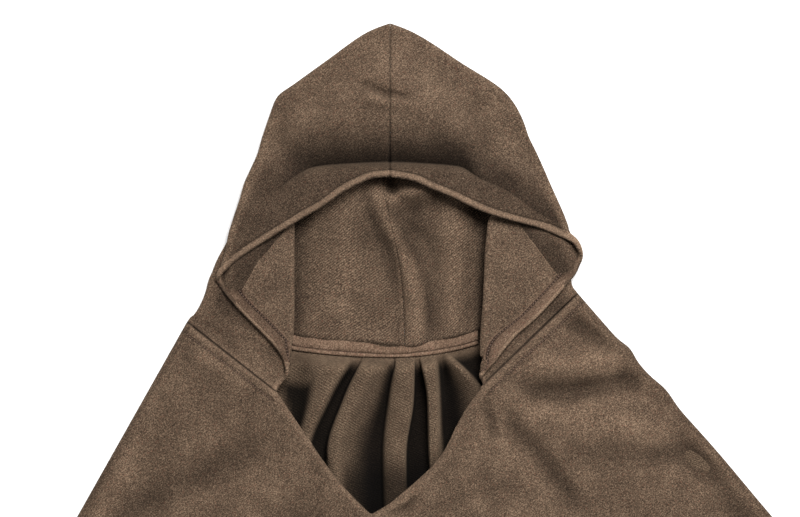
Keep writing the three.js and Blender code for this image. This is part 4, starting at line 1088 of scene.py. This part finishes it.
def hem_points(share):
    """Points of the hem, an arc through its two corners and its middle."""
    corners = []
    for name, side in (("left", -1), ("right", 1)):
        slope = math.radians(SIDE_SLOPE[name])
        x, y = NECK[name]
        corners.append((x + side * SIDE_LENGTH * math.cos(slope), y - SIDE_LENGTH * math.sin(slope)))
    (ax, ay), (bx, by), (cx, cy) = corners[0], (-10, -CENTRE_LENGTH), corners[1]
    d = 2 * (ax * (by - cy) + bx * (cy - ay) + cx * (ay - by))
    a2, b2, c2 = ax * ax + ay * ay, bx * bx + by * by, cx * cx + cy * cy
    x0 = (a2 * (by - cy) + b2 * (cy - ay) + c2 * (ay - by)) / d
    y0 = (a2 * (cx - bx) + b2 * (ax - cx) + c2 * (bx - ax)) / d
    start, end = math.atan2(ay - y0, ax - x0), math.atan2(cy - y0, cx - x0)
    angle = lerp(start, end, np.asarray(share))
    radius = math.hypot(ax - x0, ay - y0)
    return np.stack([x0 + radius * np.cos(angle), y0 + radius * np.sin(angle)], axis=-1)


def back_panel(material):
    last = len(BACK_FOLDS["at"]) - 1
    at = np.linspace(0, last, last * BACK_COLUMNS + 1)
    v = {name: read(BACK_FOLDS, "at", at, name) for name in BACK_FOLDS if name != "at"}
    neck = np.stack([v["neck_x"], neck_seam_y(v["neck_x"]) - SEAM_STEP], axis=-1)
    upper = np.stack([v["upper_x"], v["upper_y"]], axis=-1)
    lower = np.stack([v["lower_x"], v["lower_y"]], axis=-1)
    hem = hem_points(v["hem"])
    t = (np.arange(BACK_ROWS + 1) / BACK_ROWS) ** ROW_CROWDING
    knots = np.array([0, UPPER, LOWER, 1])
    places = np.stack([neck, upper, lower, hem])
    middle = np.zeros((len(t), len(at), 3))
    for axis in range(2):
        for c in range(len(at)):
            middle[:, c, axis] = read({"t": knots, "place": places[:, c, axis]}, "t", t, "place")
    fade = (1 - np.minimum(t / BACK_REACH, 1)) ** 2
    rise = ramp(0, BACK_RISE, t) ** 0.7
    lift = v["lift"][None, :] * (rise * fade)[:, None]
    middle[..., 2] = FLOOR + lift
    middle = soothed(middle, rounds=3)
    middle[..., 2] = np.maximum(middle[..., 2], FLOOR)
    # Paler colour along the neck seam, partly painted highlight.
    edge = SEAM_PALE * ramp(*SEAM_PALE_END, from_first_row(middle))
    depth, tuck_x, reach = CENTRE_TUCK
    tuck = bell(middle[..., 0] - tuck_x, reach) * ramp(*TUCK_LENGTH, from_first_row(middle))
    middle[..., 2] -= np.minimum(depth * tuck, middle[..., 2] - FLOOR)
    x, y = middle[..., 0], middle[..., 1]
    # Painted shade in the valleys among the folds, in the pinch, below the V and under the right flap.
    delay, delay_start, delay_full = LEFT_VALLEY_DELAY
    from_seam = from_first_row(middle) - delay * ramp(delay_start, delay_full, v["neck_x"])[None, :]
    covered = ramp(*VALLEY_LIFT, v["lift"] / v["lift"].max()) * ramp(*VALLEY_START, from_seam)
    among_folds = ramp(*FOLDS_LEFT, x + LEFT_LEAN * y) * ramp(*FOLDS_RIGHT, x + RIGHT_LEAN * y)
    among_folds = among_folds * ramp(*FOLDS_BELOW, y)
    tone = (1 - VALLEY_SHADE * covered * among_folds) * (1 - TUCK_SHADE * tuck)
    tone *= 1 - LOWER_SHADE * among_folds * ramp(*LOWER_SHADE_Y, y) * ramp(*LOWER_SHADE_X, x)
    tone *= 1 - RIGHT_SHADE * ramp(*RIGHT_SHADE_X, x) * ramp(*RIGHT_SHADE_Y, y) * among_folds
    across = np.linalg.norm(np.diff(middle, axis=1), axis=2)
    unrolled = np.concatenate([np.zeros((len(t), 1)), np.cumsum(across, axis=1)], axis=1)
    unrolled -= unrolled[:, [len(at) // 2]]
    thread = np.stack([unrolled, middle[..., 1], np.zeros_like(unrolled)], axis=-1)
    up = normals(middle)
    up *= np.sign(up[len(t) // 2, len(at) // 2, 2])
    piece = cloth_piece("back_cloth", middle, up, CLOTH, thread, edge, tone, material)
    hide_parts("back")


back_panel(twill_inside)


# ---- Front --------------------------------------------------------------------------------------
# One panel of the twill, face up, with the V neck cut into it. The V's edge is turned under as a
# soft roll. The neck seam from shoulder to V is topstitched, and the hem is turned up and stitched.
FRONT_ROWS = 180
FRONT_HEM = 4
FRONT_SETTLE = 2.2
SIDE_COLUMNS = 8
WAVE_START = 0.02
NECK_SEAM_SHARES = ((0, 1), (5, 6))     # of the upper edge; the V lies between them
NECK_SEAM_BLEND = (0.04, 0.02)          # over which these begin and end
V_BLEND = (0.04, 0.06)
TOPSTITCH = 9.8         # below the neck seam
V_ROLL = 11
V_ROLL_DEPTH = 3.0
V_ROLL_SWELL = 0.5
HEM_TURNING = 22
HEM_SWELL = 1.2         # what the turned hem adds to the cloth's thickness
SIDE_TOP = 10           # height of the shoulder's folded edge
CREASE_MARGIN = 14      # creases fade out this near to the sides
FRONT_NECK_DIP = (1.5, 1.8)     # depth and reach of the dip at the neck seam
TOPSTITCH_REACH, HEM_STITCH_REACH = 1.3, 1.4
STITCH_DIP = 0.4
ALLOWANCE_SWELL = 0.7   # the seam allowance below the cloth, up to the topstitching
# Painted shade in the stitched grooves and at the neck seam.
STITCH_SHADE = 0.62
FRONT_NECK_SHADE = (0.75, 1.2)
# Paler edge colour below the neck seam and on the V's roll, partly painted highlight; painted highlight on
# the roll.
FRONT_NECK_PALE = (0.18, 4)
ROLL_LIGHT = 0.06
ROLL_PALE = 0.12
SIDE_KEEPS = 0.75       # brightness that the folded side edges keep: painted shade
# Painted shade in the front's hollows, and painted highlight on what stands up.
FRONT_HOLLOW = 0.15
# Where the right side bulges out over a fold: distance from the neck, spread and height.
SIDE_BULGES = ((80, 11, 3.6), (138, 16, 3.4), (220, 60, 1.6))
BULGE_REACH = 45
FRONT_EDGE = columns(
    "at x y z hem",
    (0, -213, 29, 10, 0), (1, -119.5, -43, 30, 0.24), (2, -85, -94, 31, 0.36),
    (2.3, -68, -119, 31, 0.4), (2.6, -50.5, -142, 30, 0.445), (3, -20, -173, 29, 0.5),
    (3.35, 0, -161, 30, 0.535), (3.7, 25, -140, 31, 0.57), (4, 44, -122.5, 31, 0.6),
    (4.22, 56, -107.5, 31, 0.63), (4.4, 63, -94, 31, 0.653), (4.66, 73.5, -71, 30, 0.69),
    (5, 97.5, -36, 30, 0.74), (6, 197, 59, 10, 1),
)
FRONT_COLUMNS = (34, 36, 40, 40, 36, 40)
FRONT_CREASES = [
    ([(176, 34), (222, 14), (262, 4)], -9, 13, 11),
    ([(118, -22), (180, -18), (262, -26)], 8, 18, 13),
    ([(124, -44), (190, -46), (236, -34), (300, -26)], -10, 14, 11),
    ([(160, -84), (236, -84), (316, -104)], 8, 24, 17),
    ([(250, -104), (300, -112), (370, -130)], -6, 15, 12),
    ([(99, -44), (106, -70), (112, -100)], -5, 4, 8),
    ([(104, -48), (150, -100), (214, -180)], -7, 9, 16),
    ([(96, -78), (84, -130), (92, -190)], 4, 12, 14),
    ([(118, -140), (150, -220), (200, -330)], 7, 20, 26),
    ([(-12, -172), (10, -168), (24, -158)], -4, 3.5, 5),
    ([(8, -178), (18, -168), (28, -150)], -3, 4, 6),
    ([(-214, 4), (-180, -18), (-140, -46)], 5, 9, 15),
    ([(-104, -84), (-190, -128), (-310, -190)], -7, 20, 22),
    ([(-84, -118), (-130, -160), (-200, -260)], 5, 18, 24),
    ([(-62, -150), (-110, -220), (-180, -300)], -6, 16, 24),
    ([(-258, -70), (-300, -150), (-330, -230)], 5, 16, 20),
    ([(290, -60), (350, -140), (400, -230)], -5, 20, 24),
    ([(60, -210), (90, -420), (170, -760)], 5.5, 34, 44),
    ([(-40, -230), (-70, -470), (-60, -820)], -4, 34, 30),
    ([(-130, -260), (-220, -470), (-330, -760)], 5, 36, 42),
    ([(240, -240), (360, -420), (470, -640)], 5, 38, 34),
    ([(10, -300), (20, -560), (60, -840)], 4, 28, 36),
    ([(-300, -260), (-400, -420), (-500, -640)], -3, 30, 36),
]


def front_panel(material):
    at = np.concatenate([np.linspace(k, k + 1, count, endpoint=False)
                         for k, count in enumerate(FRONT_COLUMNS)] + [[6]])[1:-1]
    t = lerp(SEAM_STEP / SIDE_LENGTH, 1, (np.arange(FRONT_ROWS + 1) / FRONT_ROWS) ** ROW_CROWDING)
    hem = hem_points(read(FRONT_EDGE, "at", at, "hem"))
    top = np.stack([np.interp(at, FRONT_EDGE["at"], FRONT_EDGE[axis]) for axis in "xyz"], axis=-1)
    middle = np.zeros((len(t), len(at), 3))
    middle[..., :2] = lerp(top[None, :, :2], hem[None], t[:, None, None])
    middle[..., 2] = lerp(FRONT_HEM, top[None, :, 2], (1 - t[:, None]) ** FRONT_SETTLE)
    fade = ramp(0, WAVE_START, t)[:, None] * ramp(1.0, 0.96, t)[:, None]
    to_edges = [np.linalg.norm(middle[..., :2] - middle[:, [c], :2], axis=2) for c in (0, -1)]
    fade = fade * ramp(0, CREASE_MARGIN, np.minimum(*to_edges))
    middle[..., 2] += fade * creases(FRONT_CREASES, middle[..., 0], middle[..., 1])

    foot = FLOOR + CLOTH / 2 + 2 * SEAM_GAP
    sides = []
    for name, end in (("left", 0), ("right", -1)):
        slope = math.radians(SIDE_SLOPE[name])
        out = np.array([-1 if end == 0 else 1, 0]) * math.sin(slope) + np.array([0, math.cos(slope)])
        start = np.array([FRONT_EDGE[axis][end] for axis in "xy"])
        corner = hem_points(0 if end == 0 else 1)
        rows = []
        for share in t:
            place = lerp(start, corner, share)
            height = lerp(FRONT_HEM, SIDE_TOP, (1 - share) ** FRONT_SETTLE)
            radius = height - foot
            bend = arc(place - out * radius, out, foot, radius, 0, 90, SIDE_COLUMNS)
            rows.append(np.vstack([[*place, foot], bend]))
        sides.append(np.array(rows))
    middle = np.concatenate([sides[0], middle, sides[1][:, ::-1]], axis=1)
    at = np.concatenate([np.zeros(SIDE_COLUMNS + 1), at, np.full(SIDE_COLUMNS + 1, 6)])
    slope = math.radians(SIDE_SLOPE["right"])
    to_side = np.linalg.norm(middle[..., :2] - middle[:, -1:, :2], axis=2)
    bulge = sum(size * bell(t * SIDE_LENGTH - place, width) for place, width, size in SIDE_BULGES)
    bulge = bulge[:, None] * bell(to_side, BULGE_REACH)
    middle[..., 0] += bulge * math.sin(slope)
    middle[..., 1] += bulge * math.cos(slope)
    middle = soothed(middle, rounds=2)

    from_top = from_first_row(middle)
    to_hem = from_top[-1] - from_top
    on_neck = np.zeros_like(at)
    before, after = NECK_SEAM_BLEND
    for start, end in NECK_SEAM_SHARES:
        along_seam = ramp(start - before, start + after, at) * ramp(end + before, end - after, at)
        on_neck = np.maximum(on_neck, along_seam)
    before, after = V_BLEND
    v_start, v_end = NECK_SEAM_SHARES[0][1], NECK_SEAM_SHARES[1][0]
    in_v = ramp(v_start - before, v_start + after, at) * ramp(v_end + before, v_end - after, at)
    sewn = bell(from_top - TOPSTITCH, TOPSTITCH_REACH) * on_neck
    sewn += bell(to_hem - HEM_TURNING, HEM_STITCH_REACH)
    neck_dip, neck_reach = FRONT_NECK_DIP
    middle[..., 2] -= neck_dip * bell(from_top, neck_reach) * on_neck + STITCH_DIP * sewn
    middle[..., 2] += ALLOWANCE_SWELL * on_neck * np.sin(np.pi * np.clip(from_top / TOPSTITCH, 0, 1))
    roll = ramp(V_ROLL, 0, from_top) * in_v
    middle[..., 2] -= V_ROLL_DEPTH * roll ** 3
    middle = soothed(middle, rounds=1)
    thickness = CLOTH + V_ROLL_SWELL * roll + HEM_SWELL * ramp(HEM_TURNING, HEM_TURNING - 3, to_hem)
    # Paler edge colour, partly painted highlight, on the roll and below the neck seam; painted shade at the
    # stitches, at the neck seam and on the folded sides, and painted highlight on the roll.
    pale, pale_reach = FRONT_NECK_PALE
    edge = ROLL_PALE * roll + pale * bell(from_top, pale_reach) * on_neck
    dark, dark_reach = FRONT_NECK_SHADE
    tone = 1 - STITCH_SHADE * sewn - dark * bell(from_top, dark_reach) * on_neck + ROLL_LIGHT * roll
    tone[:, :SIDE_COLUMNS] *= SIDE_KEEPS
    tone[:, -SIDE_COLUMNS:] *= SIDE_KEEPS
    up = normals(middle)
    up *= np.sign(up[len(t) // 2, len(at) // 2, 2])
    piece = cloth_piece("front_cloth", middle, up, thickness, middle, edge, tone, material,
                        hollow=FRONT_HOLLOW)
    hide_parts("front")
    return middle, up, from_top, at


front_grid = front_panel(twill)


# ---- Stitches -----------------------------------------------------------------------------------
# Lockstitch in spun polyester, a shade darker than the cloth and pulled into it, so that each stitch
# shows as a short bead between two pricks. Its rows hold the face hems, the neck band and the neck seam.
STITCH_PITCH = 3.3
STITCH_LENGTH = 2.1
STITCH_RADIUS = 0.5
STITCH_SIDES = 6
STITCH_PROFILE = ((-0.5, 0.35), (-0.3, 0.9), (0, 1.0), (0.3, 0.9), (0.5, 0.35))    # along it, and radius
PLY_WIDTH = 0.6
ROW_MARGIN = 0.02       # a topstitched row leaves this share of the edge free at both ends


def stitch_row(name, line, up, material, slot):
    """Spindles along a line of points, each lying across the local up."""
    far = lengths(line)
    centres = np.arange(STITCH_PITCH / 2, far[-1], STITCH_PITCH)
    ring = [math.tau * k / STITCH_SIDES for k in range(STITCH_SIDES)]

    def spot(values, at):
        return np.array([np.interp(at, far, values[:, k]) for k in range(3)])

    points, faces = [], []
    for centre in centres:
        along = spot(line, centre + 1) - spot(line, centre - 1)
        along /= np.linalg.norm(along)
        lift = spot(up, centre)
        across = np.cross(lift, along)
        across /= np.linalg.norm(across)
        lift = np.cross(along, across)
        base = len(points)
        for share, size in STITCH_PROFILE:
            middle = spot(line, centre) + along * share * STITCH_LENGTH
            for angle in ring:
                out = across * math.cos(angle) + lift * math.sin(angle)
                points.append(middle + STITCH_RADIUS * size * out)
        last = len(STITCH_PROFILE) - 1
        for k in range(last):
            for j in range(STITCH_SIDES):
                a = base + STITCH_SIDES * k + j
                b = base + STITCH_SIDES * k + (j + 1) % STITCH_SIDES
                faces.append((a, b, b + STITCH_SIDES, a + STITCH_SIDES))
        for start, turn in ((base, -1), (base + STITCH_SIDES * last, 1)):
            tip = [start + j for j in range(STITCH_SIDES)][::turn]
            faces += [tip[:4], [tip[0], *tip[3:]]]
    new_piece(name, np.array(points), np.array(faces), {}, material)


# Spun polyester sewing thread: two plies, matt, brown.
thread_material, tree = new_material("polyester_thread_spun")
place = add(tree, "TexCoord")
ply = add(tree, "TexNoise", {"Scale": 1 / (PLY_WIDTH * MM), "Detail": 2}, {"Vector": place.outputs["Object"]})
shade = add(tree, "ValToRGB", {}, {"Fac": ply.outputs[0]})
shade.color_ramp.elements[0].color = linear("#2A1C15")
shade.color_ramp.elements[1].color = linear("#7A5C4A")
spun = add(tree, "BsdfPrincipled", {"Roughness": 0.7, "Sheen Weight": 0.1}, {"Base Color": shade.outputs[0]})
add(tree, "OutputMaterial", {}, {"Surface": spun.outputs[0]})


def front_line(shares, depth):
    """Points on the front at a depth below its upper edge, between two shares of that edge."""
    middle, up, from_top, at = front_grid
    picked = np.where((at > shares[0] + ROW_MARGIN) & (at < shares[1] - ROW_MARGIN))[0]
    line, over = (np.array([[np.interp(depth, from_top[:, c], values[:, c, k]) for k in range(3)]
                            for c in picked]) for values in (middle, up))
    return line + over * CLOTH / 2, over


for name, line, up in (("face_hem_left_stitches", hem_left_line, hem_left_up),
                       ("face_hem_right_stitches", hem_right_line, hem_right_up),
                       ("neck_band_stitches", band_line, band_up)):
    stitch_row(name, line, up, thread_material, "pressed_edge")
for side, shares in zip(("left", "right"), NECK_SEAM_SHARES):
    stitch_row(f"neck_topstitch_{side}", *front_line(shares, TOPSTITCH), thread_material, "twill")
